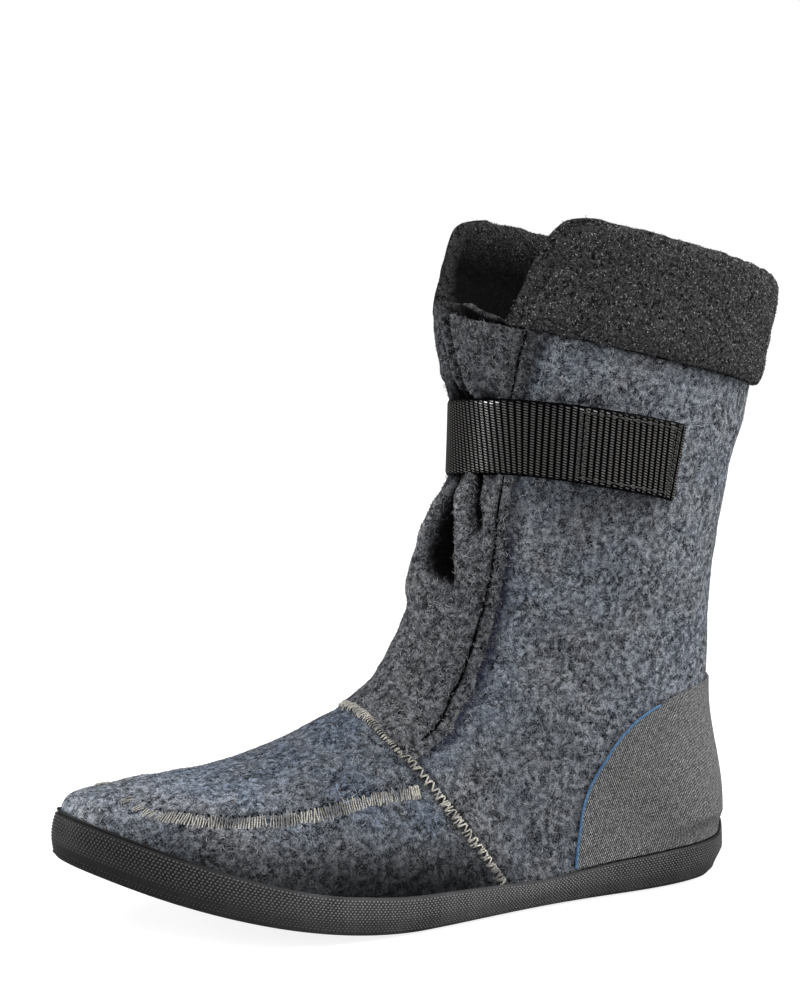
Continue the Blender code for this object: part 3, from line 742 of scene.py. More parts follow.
def scatter(points, faces, count, local):
    """Random places on a sheet of faces, evenly over its area: place, normal and a local value of each."""
    corner = np.vstack([faces[:, [0, 1, 2]], faces[:, [0, 2, 3]]])
    a, b, c = [points[corner[:, k]] for k in range(3)]
    normal = np.cross(b - a, c - a)
    area = np.linalg.norm(normal, axis=1)
    pick = RANDOM.choice(len(corner), count, p=area / area.sum())
    r, s = RANDOM.random((2, count, 1))
    r, s = np.where(r + s > 1, 1 - r, r), np.where(r + s > 1, 1 - s, s)
    place = a[pick] + r * (b - a)[pick] + s * (c - a)[pick]
    return place, normal[pick] / area[pick][:, None], local[corner[pick, 0]]


def fibres(place, normal, length, width, lift, lean):
    """Points and faces of short bent ribbons: lean 0 lies along the sheet, lean 1 stands up."""
    count = len(place)
    side = unit(np.cross(normal, RANDOM.normal(size=(count, 3))))
    ahead = np.cross(side, normal)
    s = np.array([0.0, 0.5, 1.0])
    arc = 4 * s * (1 - s)
    size = length * RANDOM.uniform(*FIBRE_LONG, (count, 1))
    bend = RANDOM.normal(0, FIBRE_BEND, (count, 1)) * size
    up = lift * RANDOM.uniform(*FIBRE_HIGH, (count, 1))
    flat = size * (1 - 0.6 * lean) * s
    rise = up * (lean * s + (1 - lean) * arc) - FIBRE_SINK
    middle = place[:, None] + ahead[:, None] * flat[..., None] + normal[:, None] * rise[..., None]
    middle = middle + side[:, None] * (bend * arc)[..., None]
    taper = width * RANDOM.uniform(*FIBRE_WIDE, (count, 1)) * np.array(FIBRE_TAPER)
    half = side[:, None] * taper[..., None]
    points = np.stack([middle - half, middle + half], axis=2).reshape(-1, 3)
    base = np.arange(count)[:, None] * 6
    return points, np.concatenate([base + [0, 1, 3, 2], base + [2, 3, 5, 4]])


def add_fibres(slot, sheet, faces, local, material):
    """Loose fibres on a sheet; local, mostly the sheet's painted shade, darkens them from 0 to 1."""
    count, sizes, rarity = FIBRES[slot]
    place, normal, dark = scatter(sheet, faces, count, local)
    points, ribbons = fibres(place, normal, *sizes)
    shade = RANDOM.random(count) ** rarity * (1 - dark)
    add_piece(slot + "_fibres", points, ribbons, material, slot, values={"shade": np.repeat(shade, 6)})


def tube(path, normal, radius, sides=6):
    """Points and faces of a thread along a path that lies on a surface with these normals."""
    ahead = np.gradient(path, axis=0)
    across = unit(np.cross(normal, ahead))
    up = unit(np.cross(ahead, across))
    turn = np.linspace(0, 2 * math.pi, sides, endpoint=False)
    ring = np.cos(turn)[:, None, None] * across + np.sin(turn)[:, None, None] * up
    points = (path + radius * ring).transpose(1, 0, 2)
    return points.reshape(-1, 3), tube_grid(len(path), sides)


def joined(parts):
    """One list of points and one of faces from several."""
    points, faces, total = [], [], 0
    for part_points, part_faces in parts:
        points.append(part_points)
        faces.append(np.asarray(part_faces) + total)
        total += len(part_points)
    return np.vstack(points), np.vstack(faces)


# Materials

def node(tree, kind, inputs=None, **settings):
    """A shader node. Each input is a value or the output of another node."""
    made = tree.nodes.new("ShaderNode" + kind)
    for name, value in settings.items():
        setattr(made, name, value)
    for key, value in (inputs or {}).items():
        if isinstance(value, bpy.types.NodeSocket):
            tree.links.new(value, made.inputs[key])
        else:
            made.inputs[key].default_value = value
    return made


def calc(tree, operation, *values):
    return node(tree, "Math", dict(enumerate(values)), operation=operation).outputs[0]


def mixed(tree, factor, first, second, blend="MIX"):
    first, second = [(*c, 1) if isinstance(c, tuple) else c for c in (first, second)]
    inputs = {0: factor, 6: first, 7: second}
    return node(tree, "Mix", inputs, data_type="RGBA", blend_type=blend).outputs[2]


def span(tree, value, low, high, to_low=0.0, to_high=1.0):
    inputs = {"Value": value, "From Min": low, "From Max": high, "To Min": to_low, "To Max": to_high}
    return node(tree, "MapRange", inputs).outputs["Result"]


def noise(tree, at, scale, detail=2.0, distortion=0.0):
    inputs = {"Vector": at, "Scale": scale, "Detail": detail, "Distortion": distortion}
    return node(tree, "TexNoise", inputs).outputs["Fac"]


def value_of(tree, name):
    return node(tree, "Attribute", attribute_name=name).outputs["Fac"]


def millimetres(tree, offset=0.0):
    """Place on the boot in millimetres."""
    at = node(tree, "TexCoord").outputs["Object"]
    inputs = {0: at, 1: (1000, 1000, 1000), 2: (offset, offset, offset)}
    return node(tree, "VectorMath", inputs, operation="MULTIPLY_ADD").outputs[0]


def strands(tree, offset, scale, width):
    """Thin curved lines, like fibres lying about: where a noise passes through its middle value."""
    field = noise(tree, millimetres(tree, offset), scale, 1.5, 0.9)
    away = calc(tree, "ABSOLUTE", calc(tree, "SUBTRACT", field, 0.5))
    return span(tree, away, width, width * 0.2)


def new_material(name, roughness, specular):
    material = bpy.data.materials.new(name)
    material.use_nodes = True
    shader = material.node_tree.nodes["Principled BSDF"]
    shader.inputs["Roughness"].default_value = roughness
    shader.inputs["Specular IOR Level"].default_value = specular
    return material, material.node_tree, shader


def finish_with(tree, shader, colour, height=None, depth=0.3, strength=0.6):
    """Joins a colour, and a height in units of depth millimetres, to the shader."""
    tree.links.new(colour, shader.inputs["Base Color"])
    if height is not None:
        bump = node(tree, "Bump", {"Height": height, "Strength": strength, "Distance": depth * MM})
        tree.links.new(bump.outputs["Normal"], shader.inputs["Normal"])


# Felt: tints and tones of its values, and its strands as offset, scale and half-width of a line.
# The shade, edge-shadow and groove tones are painted shade; the paler tint is wear and painted light
BLUE_TINT, WORN_AND_LIT_TINT = (0.81, 0.965, 1.19), (2.4, 2.35, 2.3)
SHADE_TONE, EDGE_SHADOW_TONE = (0.003, 0.003, 0.0035), (0.018, 0.016, 0.055)
GROOVE_TONE = (0.0015, 0.0015, 0.0015)
STRANDS = ((0.0, 0.75, 0.05), (57.0, 0.95, 0.045), (131.0, 0.66, 0.045), (203.0, 1.1, 0.045))


def felt(name, dark, light, strand, blotch_size=7.0):
    """Pressed felt: blotches, grains and fine strands. At each point, shade darkens it, mostly as
    painted shade; worn makes it paler, partly wear and partly painted light; blue turns it
    towards blue; dye is the painted blue-violet shadow beside the gusset's edge, and groove
    a sewn line, painted black as the shade in its groove."""
    material, tree, shader = new_material(name, 1.0, 0.02)
    at = millimetres(tree)
    blotch = noise(tree, at, 1 / blotch_size, 2.0)
    grain = noise(tree, at, 1.7, 2.0, 0.5)
    lump = calc(tree, "MULTIPLY", noise(tree, at, 0.6, 2.0, 0.5), 0.1)
    tone = calc(tree, "ADD", calc(tree, "MULTIPLY_ADD", blotch, 0.4, lump), grain)
    ground = mixed(tree, span(tree, tone, 0.63, 0.89), dark, light)
    lines = strands(tree, *STRANDS[0])
    for layer in STRANDS[1:]:
        lines = calc(tree, "MAXIMUM", lines, strands(tree, *layer))
    broken = span(tree, noise(tree, at, 0.4, 2.0), 0.44, 0.62)
    lines = calc(tree, "MULTIPLY", lines, broken)
    colour = mixed(tree, calc(tree, "MULTIPLY", lines, 0.85), ground, strand)
    patch = span(tree, noise(tree, at, 0.05, 2.0), 0.35, 0.65, 0.4, 1.0)
    blue = calc(tree, "MULTIPLY", value_of(tree, "blue"), patch)
    colour = mixed(tree, blue, colour, BLUE_TINT, "MULTIPLY")
    # Paler from wear and painted light; then painted shade, the painted blue-violet shadow beside the
    # gusset's edge, and the sewn groove painted black as shade
    colour = mixed(tree, value_of(tree, "worn"), colour, WORN_AND_LIT_TINT, "MULTIPLY")
    colour = mixed(tree, value_of(tree, "shade"), colour, SHADE_TONE)
    colour = mixed(tree, value_of(tree, "dye"), colour, EDGE_SHADOW_TONE)
    colour = mixed(tree, span(tree, value_of(tree, "groove"), 0.7, 0.86), colour, GROOVE_TONE)
    height = calc(tree, "ADD", grain, calc(tree, "MULTIPLY", lines, 0.35))
    finish_with(tree, shader, colour, height, 0.9, 0.8)
    return material


def loose_fibre(name, dark, light):
    material, tree, shader = new_material(name, 0.9, 0.05)
    finish_with(tree, shader, mixed(tree, value_of(tree, "shade"), dark, light))
    return material


def fleece(name, dark, light):
    """Short pile in small curls, darkened towards near black by painted shade where its shade value says so.
    """
    material, tree, shader = new_material(name, 1.0, 0.02)
    at = millimetres(tree)
    curl = noise(tree, at, 0.75, 3.0, 1.2)
    colour = mixed(tree, span(tree, curl, 0.35, 0.7), dark, light)
    # Painted shade on the inner face
    inside = calc(tree, "MULTIPLY", value_of(tree, "shade"), 0.95)
    colour = mixed(tree, inside, colour, (0.004, 0.004, 0.004))
    finish_with(tree, shader, colour, curl, 1.4, 0.9)
    return material


def twill(name):
    """Grey twill: steep fine ribs with light specks, by each point's way round the heel and its height."""
    material, tree, shader = new_material(name, 0.9, 0.1)
    at = node(tree, "Attribute", attribute_name="flat").outputs["Vector"]
    flat = node(tree, "SeparateXYZ", {0: at})
    x, z = flat.outputs[0], flat.outputs[1]
    lean = calc(tree, "ADD", x, calc(tree, "MULTIPLY", z, -0.45))
    rib = calc(tree, "SINE", calc(tree, "MULTIPLY", lean, 2 * math.pi / TWILL_RIB))
    across = calc(tree, "ADD", z, calc(tree, "MULTIPLY", x, 0.25))
    floats = calc(tree, "SINE", calc(tree, "MULTIPLY", across, 2 * math.pi / TWILL_FLOAT))
    weave = span(tree, calc(tree, "ADD", rib, calc(tree, "MULTIPLY", floats, 0.3)), -0.8, 1.1)
    stretched = node(tree, "VectorMath", {0: at, 1: (2.2, 0.8, 1.0)}, operation="MULTIPLY").outputs[0]
    speck = span(tree, noise(tree, stretched, 1.5, 2.0), 0.5, 0.68)
    dull = span(tree, noise(tree, stretched, 0.35, 2.0), 0.35, 0.65)
    yarn = mixed(tree, dull, (0.14, 0.14, 0.144), (0.36, 0.36, 0.366))
    ground = mixed(tree, weave, (0.004, 0.004, 0.0041), yarn)
    colour = mixed(tree, calc(tree, "MULTIPLY", speck, weave), ground, (0.8, 0.8, 0.78))
    finish_with(tree, shader, colour, weave, 0.3, 0.6)
    return material


def woven(tree):
    """Height between 0 and 1 of webbing: columns of short floats, by each point's flat place."""
    flat = node(tree, "SeparateXYZ", {0: node(tree, "Attribute", attribute_name="flat").outputs["Vector"]})
    column = calc(tree, "DIVIDE", flat.outputs[0], WEAVE_PITCH)
    number = calc(tree, "ROUND", column)
    local = calc(tree, "SUBTRACT", column, number)
    ridge = span(tree, calc(tree, "ABSOLUTE", local), 0.36, 0.18)
    turn = calc(tree, "DIVIDE", flat.outputs[1], FLOAT_PITCH)
    turn = calc(tree, "ADD", turn, calc(tree, "MULTIPLY", calc(tree, "ADD", number, local), 0.5))
    dash = calc(tree, "ABSOLUTE", calc(tree, "SINE", calc(tree, "MULTIPLY", turn, math.pi)))
    from_edge = calc(tree, "SUBTRACT", STRAP_WIDTH / 2, calc(tree, "ABSOLUTE", flat.outputs[1]))
    lifted = calc(tree, "MULTIPLY", ridge, span(tree, dash, 0.58, 1.0))
    return calc(tree, "MULTIPLY", lifted, span(tree, from_edge, 0.5, STRAP_EDGE))


def webbing(name, low, high):
    """Black nylon webbing: its floats lighter and the gaps between them near black, painted shade in the
    gaps;
    lighter still by a random wear noise and by the strap's worn value: painted shade away from its
    end, painted light near it.
    """
    material, tree, shader = new_material(name, 0.5, 0.02)
    shader.inputs["Coat Roughness"].default_value = 0.25
    shader.inputs["Coat IOR"].default_value = 2.3
    rise = woven(tree)
    tree.links.new(rise, shader.inputs["Coat Weight"])
    worn = span(tree, noise(tree, millimetres(tree), 0.9, 2.0), 0.3, 0.65, 0.35, 1.0)
    worn = calc(tree, "MULTIPLY", worn, value_of(tree, "worn"))
    # Floats take the high colour and the gaps between them the near-black low one, as painted shade
    finish_with(tree, shader, mixed(tree, calc(tree, "MULTIPLY", rise, worn), low, high), rise, 0.22, 1.0)
    return material


def hook_tape(name):
    """Black tape with small hooks, paler at their tips."""
    material, tree, shader = new_material(name, 0.5, 0.1)
    hooks = value_of(tree, "rise")
    finish_with(tree, shader, mixed(tree, hooks, (0.002, 0.002, 0.002), (0.014, 0.014, 0.014)), hooks, 0.3)
    return material


def rubber(name):
    """Black rubber in random dusty patches, darker towards the back of the heel and darker still towards the
    toe as painted shade; paler on the dots' tops where the attribute rise says so, partly wear and partly
    painted highlight.
    """
    material, tree, shader = new_material(name, 0.5, 0.15)
    at = millimetres(tree)
    dust = span(tree, noise(tree, at, 0.09, 3.0), 0.35, 0.7)
    forward = node(tree, "SeparateXYZ", {0: at}).outputs[0]
    # Painted shade towards the toe; darker also towards the back of the heel
    toe_shade = span(tree, forward, 150.0, 225.0)
    away_from_heel = span(tree, forward, -30.0, 70.0)
    colour = mixed(tree, dust, (0.036, 0.036, 0.0367), (0.062, 0.062, 0.0633))
    colour = mixed(tree, away_from_heel, mixed(tree, 0.45, (0.0, 0.0, 0.0), colour), colour)
    colour = mixed(tree, toe_shade, colour, (0.012, 0.012, 0.012))
    # Paler tops of the dots: partly wear, partly painted highlight
    brightened = mixed(tree, away_from_heel, (0.16, 0.16, 0.161), (0.27, 0.27, 0.272))
    brightened = mixed(tree, toe_shade, brightened, (0.1, 0.1, 0.1))
    colour = mixed(tree, value_of(tree, "rise"), colour, brightened)
    finish_with(tree, shader, colour, noise(tree, at, 2.2, 3.0), 0.12, 0.5)
    return material


def thread(name, dark, light):
    material, tree, shader = new_material(name, 0.6, 0.3)
    twist = noise(tree, millimetres(tree), 1.6, 2.0)
    ground = mixed(tree, span(tree, twist, 0.35, 0.65), dark, light)
    colour = mixed(tree, calc(tree, "MULTIPLY", value_of(tree, "shade"), 0.8), ground, (0.07, 0.07, 0.075))
    finish_with(tree, shader, colour, twist, 0.2, 0.5)
    return material


UPPER_FELT = felt("upper_felt", (0.006, 0.0065, 0.0075), (0.235, 0.242, 0.26), (0.62, 0.63, 0.65))
GUSSET_FELT = felt("gusset_felt", (0.004, 0.004, 0.0045), (0.128, 0.129, 0.136), (0.36, 0.36, 0.37), 4.0)
UPPER_FIBRE = loose_fibre("upper_fibre", (0.01, 0.011, 0.013), (0.68, 0.695, 0.73))
GUSSET_FIBRE = loose_fibre("gusset_fibre", (0.006, 0.006, 0.007), (0.45, 0.45, 0.465))
CUFF_FLEECE = fleece("cuff_fleece", (0.004, 0.004, 0.004), (0.11, 0.11, 0.11))
CUFF_FIBRE = loose_fibre("cuff_fibre", (0.005, 0.005, 0.005), (0.6, 0.6, 0.6))
TWILL = twill("counter_twill")
EDGING = thread("counter_edging", (0.05, 0.12, 0.24), (0.13, 0.25, 0.42))
WEBBING = webbing("strap_webbing", (0.0004, 0.0004, 0.0004), (0.15, 0.142, 0.128))
HOOKS = hook_tape("hook_tape")
RUBBER = rubber("sole_rubber")
CREAM_THREAD = thread("cream_thread", (0.32, 0.3, 0.26), (0.8, 0.77, 0.7))
DARK_THREAD = thread("dark_thread", (0.016, 0.016, 0.016), (0.075, 0.073, 0.07))
HOLE = loose_fibre("needle_hole", (0.004, 0.004, 0.005), (0.004, 0.004, 0.005))


# Upper

THROAT_COLUMNS, WALL_COLUMNS = 7, 54
TOE_ROWS, FOOT_ROWS, LEG_ROWS = 96, 76, 80


def apron_line(step):
    """Places t, u along the apron seam."""
    t, u = np.array(APRON).T
    key = np.arange(len(APRON), dtype=float)
    at = np.linspace(0, len(APRON) - 1, 900)
    return even_line(smooth(key, t, at), smooth(key, u, at), step)


APRON_POINTS = form(*apron_line(1.0))


def seam_t(u):
    """Place t of the vamp's seam, which runs a little further back at the sole."""
    return SEAM_T + SEAM_BACK * ease(0.3, 0.9, np.abs(u))


def from_seam(t, u):
    """Distance behind the vamp's seam, below 0 on the vamp."""
    return (t - seam_t(u)) * np.linalg.norm(along_form(t, u)[0], axis=-1)


def from_apron(t, u, points):
    """Distance from the apron's seam, below 0 outside the apron; FAR away from the vamp."""
    away = np.full(points.shape[:-1], FAR)
    near = t < ROW["vamp_seam"]
    for seam in APRON_POINTS[::2]:
        away[near] = np.minimum(away[near], np.linalg.norm(points[near] - seam, axis=-1))
    line_t, line_u = apron_line(1.0)
    front = int(np.argmin(line_t))
    outer = np.interp(t, line_t[front::-1], line_u[front::-1])
    inner = np.interp(t, line_t[front:], line_u[front:])
    inside = (u < outer) & (u > inner) & (t > line_t[front])
    return np.where(inside | ~near, away, -away)


def relief(t, u):
    """How far the felt stands out from the plain form: lumps, the vamp's edge, the apron's seam."""
    t, u = np.broadcast_arrays(np.asarray(t, float), np.asarray(u, float))
    points = form(t, u)
    behind = from_seam(t, u)
    inside = from_apron(t, u, points)
    sewn = ease(APRON_LOOSE_END, APRON_END + 0.4, t)
    height = lumps(points, FELT_LUMPS)
    height = height + VAMP_EDGE_RISE * ease(*VAMP_EDGE_FRONT, behind) * (1 - ease(*VAMP_EDGE_BACK, behind))
    height = height - SEAM_GROOVE_DEPTH * bell(behind, SEAM_GROOVE, SEAM_GROOVE_WIDTH)
    apron = APRON_RISE * sewn * ease(1.0, 6.0, inside) * (inside < FAR)
    height = height + apron * (1 - ease(5.5, 6.0, t))
    return height - APRON_DIP * sewn * bell(inside, 0.0, APRON_DIP_WIDTH)


def beside_gusset(t, u, y):
    """Distance from the gusset's edge, on the quarters; FAR elsewhere."""
    front = (t > ROW["vamp_seam"]) & (np.abs(u) < 0.5)
    return np.where(front, np.abs(y) - gusset_reach(t, y), FAR)


def vamp_low(t, above):
    """1 on the vamp close over the rim, 0 higher up and behind."""
    return (1 - ease(2, 27, above)) * (1 - ease(5.5, 7.0, t)) * ease(0.6, 2.2, t)


def felt_shade(t, u, points, beside):
    """How dark the felt is at each place: the darkest of the reasons for it, most of them painted shade."""
    x, _, z = np.moveaxis(points, -1, 0)
    behind = from_seam(t, u)
    inside = from_apron(t, u, points)
    sewn = ease(APRON_LOOSE_END, APRON_END + 0.2, t)
    quarter = ease(*QUARTER_FADE, t)
    middle = ease(2.6, 4.2, t) * (1 - quarter)
    uneven = np.clip(0.55 + 0.6 * ripple(points, 3.0, 17), 0, 1)
    strapped = bell(z, 160.0, 13.0) * ease(48.0, 60.0, x)
    # Painted shade in grooves and dips, under threads, beside the gusset's edge, under the strap and low on
    # the vamp, which is also darker felt there as in its middle; darker too low on the quarter's front
    return np.maximum.reduce((
        SHADE["vamp_middle"] * middle + SHADE["vamp_low"] * vamp_low(t, z - rim_top(x)),
        SHADE["seam_groove"] * bell(behind, SEAM_GROOVE, 0.9),
        SHADE["under_thread"] * (1 - ease(1.8, 3.0, np.abs(behind + 0.2))),
        SHADE["quarter_low"] * (1 - ease(50.0, 95.0, z)) * quarter * ease(70.0, 115.0, x),
        SHADE["apron_seam"] * sewn * bell(inside, 0.0, 2.2),
        SHADE["apron_shadow_line"] * bell(inside, 3.4, 0.9) * uneven * sewn,
        SHADE["beside_gusset"] * bell(beside, 0.4, 1.2),
        SHADE["under_strap"] * strapped * (t > ROW["heel"]),
    ))


def felt_values(t, u):
    """How dark, pale and blue the felt is at each place, and where the painted blue-violet shadow beside the
    gusset's edge lies: its darkness mostly painted shade, its paleness partly wear and partly painted light.
    """
    points = form(t, u)
    x, y, z = np.moveaxis(points, -1, 0)
    above = z - rim_top(x)
    beside = beside_gusset(t, u, y)
    shade = felt_shade(t, u, points, beside)
    shown = ease(ROW["vamp_seam"] + 0.2, ROW["instep"], t) * (1 - ease(ROW["ankle"], ROW["strap"], t))
    toe, vamp = 1 - ease(*TOE_FADE, t), 1 - ease(*VAMP_FADE, t)
    plain = 0.25 + 0.25 * ease(*QUARTER_FADE, t) + 0.4 * toe
    blue = np.maximum.reduce((vamp * ease(6, 30, above), 0.8 * bell(beside, 0.0, 9.0), plain))
    # Paler toe: partly wear, partly painted light on its top
    worn = TOE_WORN_AND_LIT * toe * (0.35 + 0.65 * ease(0.4, 1.8, t)) * (1 - vamp_low(t, above))
    # Painted blue-violet shadow beside the gusset's edge
    dye = EDGE_SHADOW * bell(beside, 0.7, 0.7) * shown
    return {"shade": shade, "blue": blue, "dye": dye, "worn": worn, "groove": 0 * shade}


def upper_line(t):
    """Places u of one row, from the inner side over the front to the outer side."""
    halves = []
    for side in (-1, 1):
        edge = max(t, ROW["vamp_seam"])
        throat = u_at_y(edge, side, gusset_reach(edge, side) - GUSSET_LAP)
        front = np.linspace(0, throat, THROAT_COLUMNS + 1)
        halves.append(np.concatenate([front, np.linspace(throat, side, WALL_COLUMNS + 1)[1:]]))
    return np.concatenate([halves[0][:0:-1], halves[1]])


def upper():
    seam, heel = ROW["vamp_seam"], ROW["heel"]
    rows = [even_rows(0.0, seam, TOE_ROWS), even_rows(seam, heel, FOOT_ROWS)[1:]]
    rows = np.concatenate(rows + [even_rows(heel, ROW["collar"] - SHAFT_TOP, LEG_ROWS)[1:]])
    u = np.concatenate([upper_line(t) for t in rows])
    columns = len(u) // len(rows)
    t = np.repeat(rows, columns)
    faces = grid(len(rows), columns)
    row, column = np.divmod(faces[:, 0], columns)
    in_throat = (column >= WALL_COLUMNS) & (column < WALL_COLUMNS + 2 * THROAT_COLUMNS)
    faces = faces[(row < TOE_ROWS) | ~in_throat]
    first, faces = weld(form(t, u), faces)
    t, u = t[first], u[first]
    outer, inner = skin(t, u, relief(t, u)), skin(t, u, -FELT)
    values = felt_values(t, u)
    add_wall("upper_felt", outer, inner, faces, UPPER_FELT, "upper", ["upper"], values)
    add_fibres("upper", outer, faces, values["shade"], UPPER_FIBRE)


# Gusset

GUSSET_ROWS, GUSSET_COLUMNS = 160, 101
LINING_ROWS, LINING_COLUMNS = 24, 71


def fold_height(t, points):
    """How far the gusset stands out or in at its folds, at its hollow and at its lower seam."""
    y, z = points[:, 1], points[:, 2]
    free = 1 - ease(0.45, 0.7, np.abs(y) / gusset_reach(t, y))
    height = -SEAM_DIP * free * (1 - ease(ROW["vamp_seam"], ROW["instep"], t))
    for middle, half, depth, low, high, lean in FOLDS.values():
        shown = ease(low, low + FOLD_FADE, z) * (1 - ease(high - FOLD_FADE, high, z))
        height += depth * hump(y - middle - lean * (high - z), half) * shown
    beside = 1 - ease(0.6, 0.95, np.abs(y) / gusset_reach(t, y))
    pinched = ease(158, 168, z) * (1 - ease(197, 206, z)) * beside
    return height - STRAP_PINCH * pinched


def hollow(points):
    """The deep pocket under the strap: its depth at each point, and how far the fold beside it leans."""
    column = dict(zip(HOLLOW_COLUMNS, np.array(HOLLOW).T))
    y, z = points[:, 1], points[:, 2]
    edge, width, depth = [smooth(column["height"], column[name], z) for name in ("edge", "width", "depth")]
    inside = edge - y
    deep = depth * ease(0.0, 1.0, inside) * (1 - ease(0.25, 1.15, inside / width))
    lean = 0.2 * depth * np.where(inside > 0, 1 - ease(0.0, 1.0, inside), 1 - ease(0.0, 6.0, -inside))
    return deep, lean


def gusset_grid(start, end, count, columns, margin):
    """Places t, u of rows across the gusset, from its inner edge to its outer edge."""
    rows = even_rows(start, end, count)
    u = []
    for t in rows:
        inner, outer = [u_at_y(t, side, gusset_reach(t, side) - margin) for side in (-1, 1)]
        u.append(np.linspace(inner, outer, columns))
    return np.repeat(rows, columns), np.concatenate(u), grid(count + 1, columns)


def gusset_values(t, folds, deep, line):
    """How dark and pale the gusset's felt is at each point: painted shade towards its top under the cuff,
    in the folds' valleys and in the hollow, and painted highlight on the folds' ridges, partly wear.
    """
    # Painted shade towards the top under the cuff, in the folds' valleys and in the hollow
    top_dark = 0.28 * ease(ROW["strap"] + 0.3, ROW["leg"], t)
    valley = np.clip(-folds - 0.5, 0, None) / 2.6 * (t > ROW["arch"])
    shade = np.clip(top_dark + ease(0.4, 4.6, deep) + valley, 0, 1)
    # Painted highlight on the folds' ridges, partly wear of the felt
    brightened = 0.4 * np.clip(folds / 2.5, 0, 1) * (1 - ease(0.0, 1.0, deep))
    blue = np.full(len(t), 0.35)
    return {"shade": shade, "blue": blue, "dye": 0 * shade, "worn": brightened, "groove": line}


def gusset():
    end = ROW["collar"] - SHAFT_TOP
    t, u, faces = gusset_grid(ROW["vamp_seam"] + 0.03, end, GUSSET_ROWS, GUSSET_COLUMNS, 0.0)
    points = form(t, u)
    t = t + TOP_STEP * table_at(TOP_RISE, points[:, 1]) * ease(end - 0.7, end, t)
    folds = fold_height(t, points)
    deep, lean = hollow(points)
    from_edge = gusset_reach(t, points[:, 1]) - np.abs(points[:, 1])
    taper = ease(0, EDGE_TAPER, from_edge)
    thick = GUSSET_THICK * (EDGE_THIN + (1 - EDGE_THIN) * taper)
    lift = GUSSET_LIFT * (EDGE_LOW + (1 - EDGE_LOW) * taper)
    groove_in = by_section(GROOVE_IN, t)
    sewn = ease(0.2, 0.6, t - ROW["vamp_seam"])
    groove = bell(from_edge, groove_in, GROOVE_WIDTH) * sewn
    # The sewn line along the groove, which the felt paints black as shade
    line = np.clip(1 - np.abs(from_edge - groove_in) / GROOVE_LINE, 0, 1) * sewn
    leaned = u - lean / np.linalg.norm(along_form(t, u)[1], axis=-1)
    low = lift + folds - deep
    outer = skin(t, leaned, low + thick + lumps(points, GUSSET_LUMPS) - GROOVE_DEPTH * groove)
    inner = skin(t, leaned, low)
    values = gusset_values(t, folds, deep, line)
    add_wall("gusset_felt", outer, inner, faces, GUSSET_FELT, "gusset", ["gusset"], values)
    add_fibres("gusset", outer, faces, values["shade"], GUSSET_FIBRE)


def gusset_lining():
    """The second layer that shows behind the gusset's top edge, darkened by painted shade except at its top
    edge and towards its inner side.
    """
    start, end = ROW["leg"] + 0.45, ROW["collar"] + 0.16
    t, u, faces = gusset_grid(start, end, LINING_ROWS, LINING_COLUMNS, LINING_MARGIN)
    points = form(t, u)
    drop = 0.12 * ease(2.0, 22.0, points[:, 1])
    t = t + (0.03 * ripple(points, 7.0, 31) - drop) * ease(end - 0.3, end, t)
    out = GUSSET_LIFT + fold_height(t, points) * 0.5 - LINING_DEPTH
    outer, inner = skin(t, u, out), skin(t, u, out - LINING_THICK)
    # Painted shade inside the boot's opening, lighter at the top edge and towards the inner side
    shade = 1 - 0.5 * ease(end - 0.05, end, t + drop) - 0.3 * (1 - ease(-8.0, 8.0, points[:, 1]))
    add_wall("gusset_lining", outer, inner, faces, GUSSET_FELT, "gusset", (), {"shade": shade})


# Cuff

CUFF_AROUND, CUFF_STEPS = 84, 111


def front_roll(from_front):
    """How far the cuff's front edges swell, with a sewn dip behind the swelling."""
    dip = HEM_DIP * bell(from_front, HEM_SEAM, HEM_SEAM_WIDTH)
    return CUFF_ROLL * (bell(from_front, 0.0, HEM_SWELL) - dip)


def cuff_line(share, out, steps):
    """One line round the cuff, from its outer front edge round the back to its inner front edge."""
    t = ROW["collar"] + share
    edge = table_at(CUFF_EDGE, share)
    outer_end, inner_end = [abs(u_at_x(t, side, edge)) for side in (1, -1)]
    u = np.concatenate([outer_end + (1 - outer_end) * steps, (1 - inner_end) * steps[1:] - 1])
    front = np.concatenate([0 * steps, ease(0.4, 1.0, steps[1:])])
    crown = CUFF_CROWN * np.sin(math.pi * np.concatenate([steps, 1 - steps[1:]]))
    from_front = np.concatenate([(1 - outer_end) * steps, (1 - inner_end) * (1 - steps[1:])]) * CUFF_SPEED
    raised = t + share * (crown - CUFF_INNER_DROP * front)
    return skin(raised, u, out + front_roll(from_front) * ease(0.0, 3.0, out))


def cuff():
    scale = (CUFF_HEIGHT, 1.0)
    ring = closed_spline(np.array(CUFF_RING) * scale, CUFF_AROUND) / scale
    steps = np.linspace(0, 1, CUFF_STEPS)
    points = np.array([cuff_line(share, out, steps) for share, out in ring]).transpose(1, 0, 2)
    columns = len(points)
    away = unit(points - points.mean(1, keepdims=True))
    points = (points + away * lumps(points, CUFF_LUMPS)[..., None]).reshape(-1, 3)
    faces = tube_grid(columns, CUFF_AROUND)[:, ::-1]
    first = list(range(CUFF_AROUND))
    last = [(columns - 1) * CUFF_AROUND + p for p in first]
    closed = [list(face) for face in faces] + [first[::-1], last]
    # Painted shade on the cuff's inner face, darkest low down and lighter towards its top
    inside = np.tile((ring[:, 1] < -1.0) * (0.99 - 0.7 * ease(0.5, 1.0, ring[:, 0])), columns)
    piece = add_piece("cuff_fleece", points, closed, CUFF_FLEECE, "cuff", ["cuff"], {"shade": inside})
    add_fibres("cuff", points, faces, inside, CUFF_FIBRE)


# Heel counter

COUNTER_ROWS, COUNTER_COLUMNS, COUNTER_SAMPLES = 140, 46, 1200
COUNTER_FROM_T, COUNTER_TO_T = 6.9, 12.2
EDGING_STEP, EDGING_SINK = 1.2, 0.15


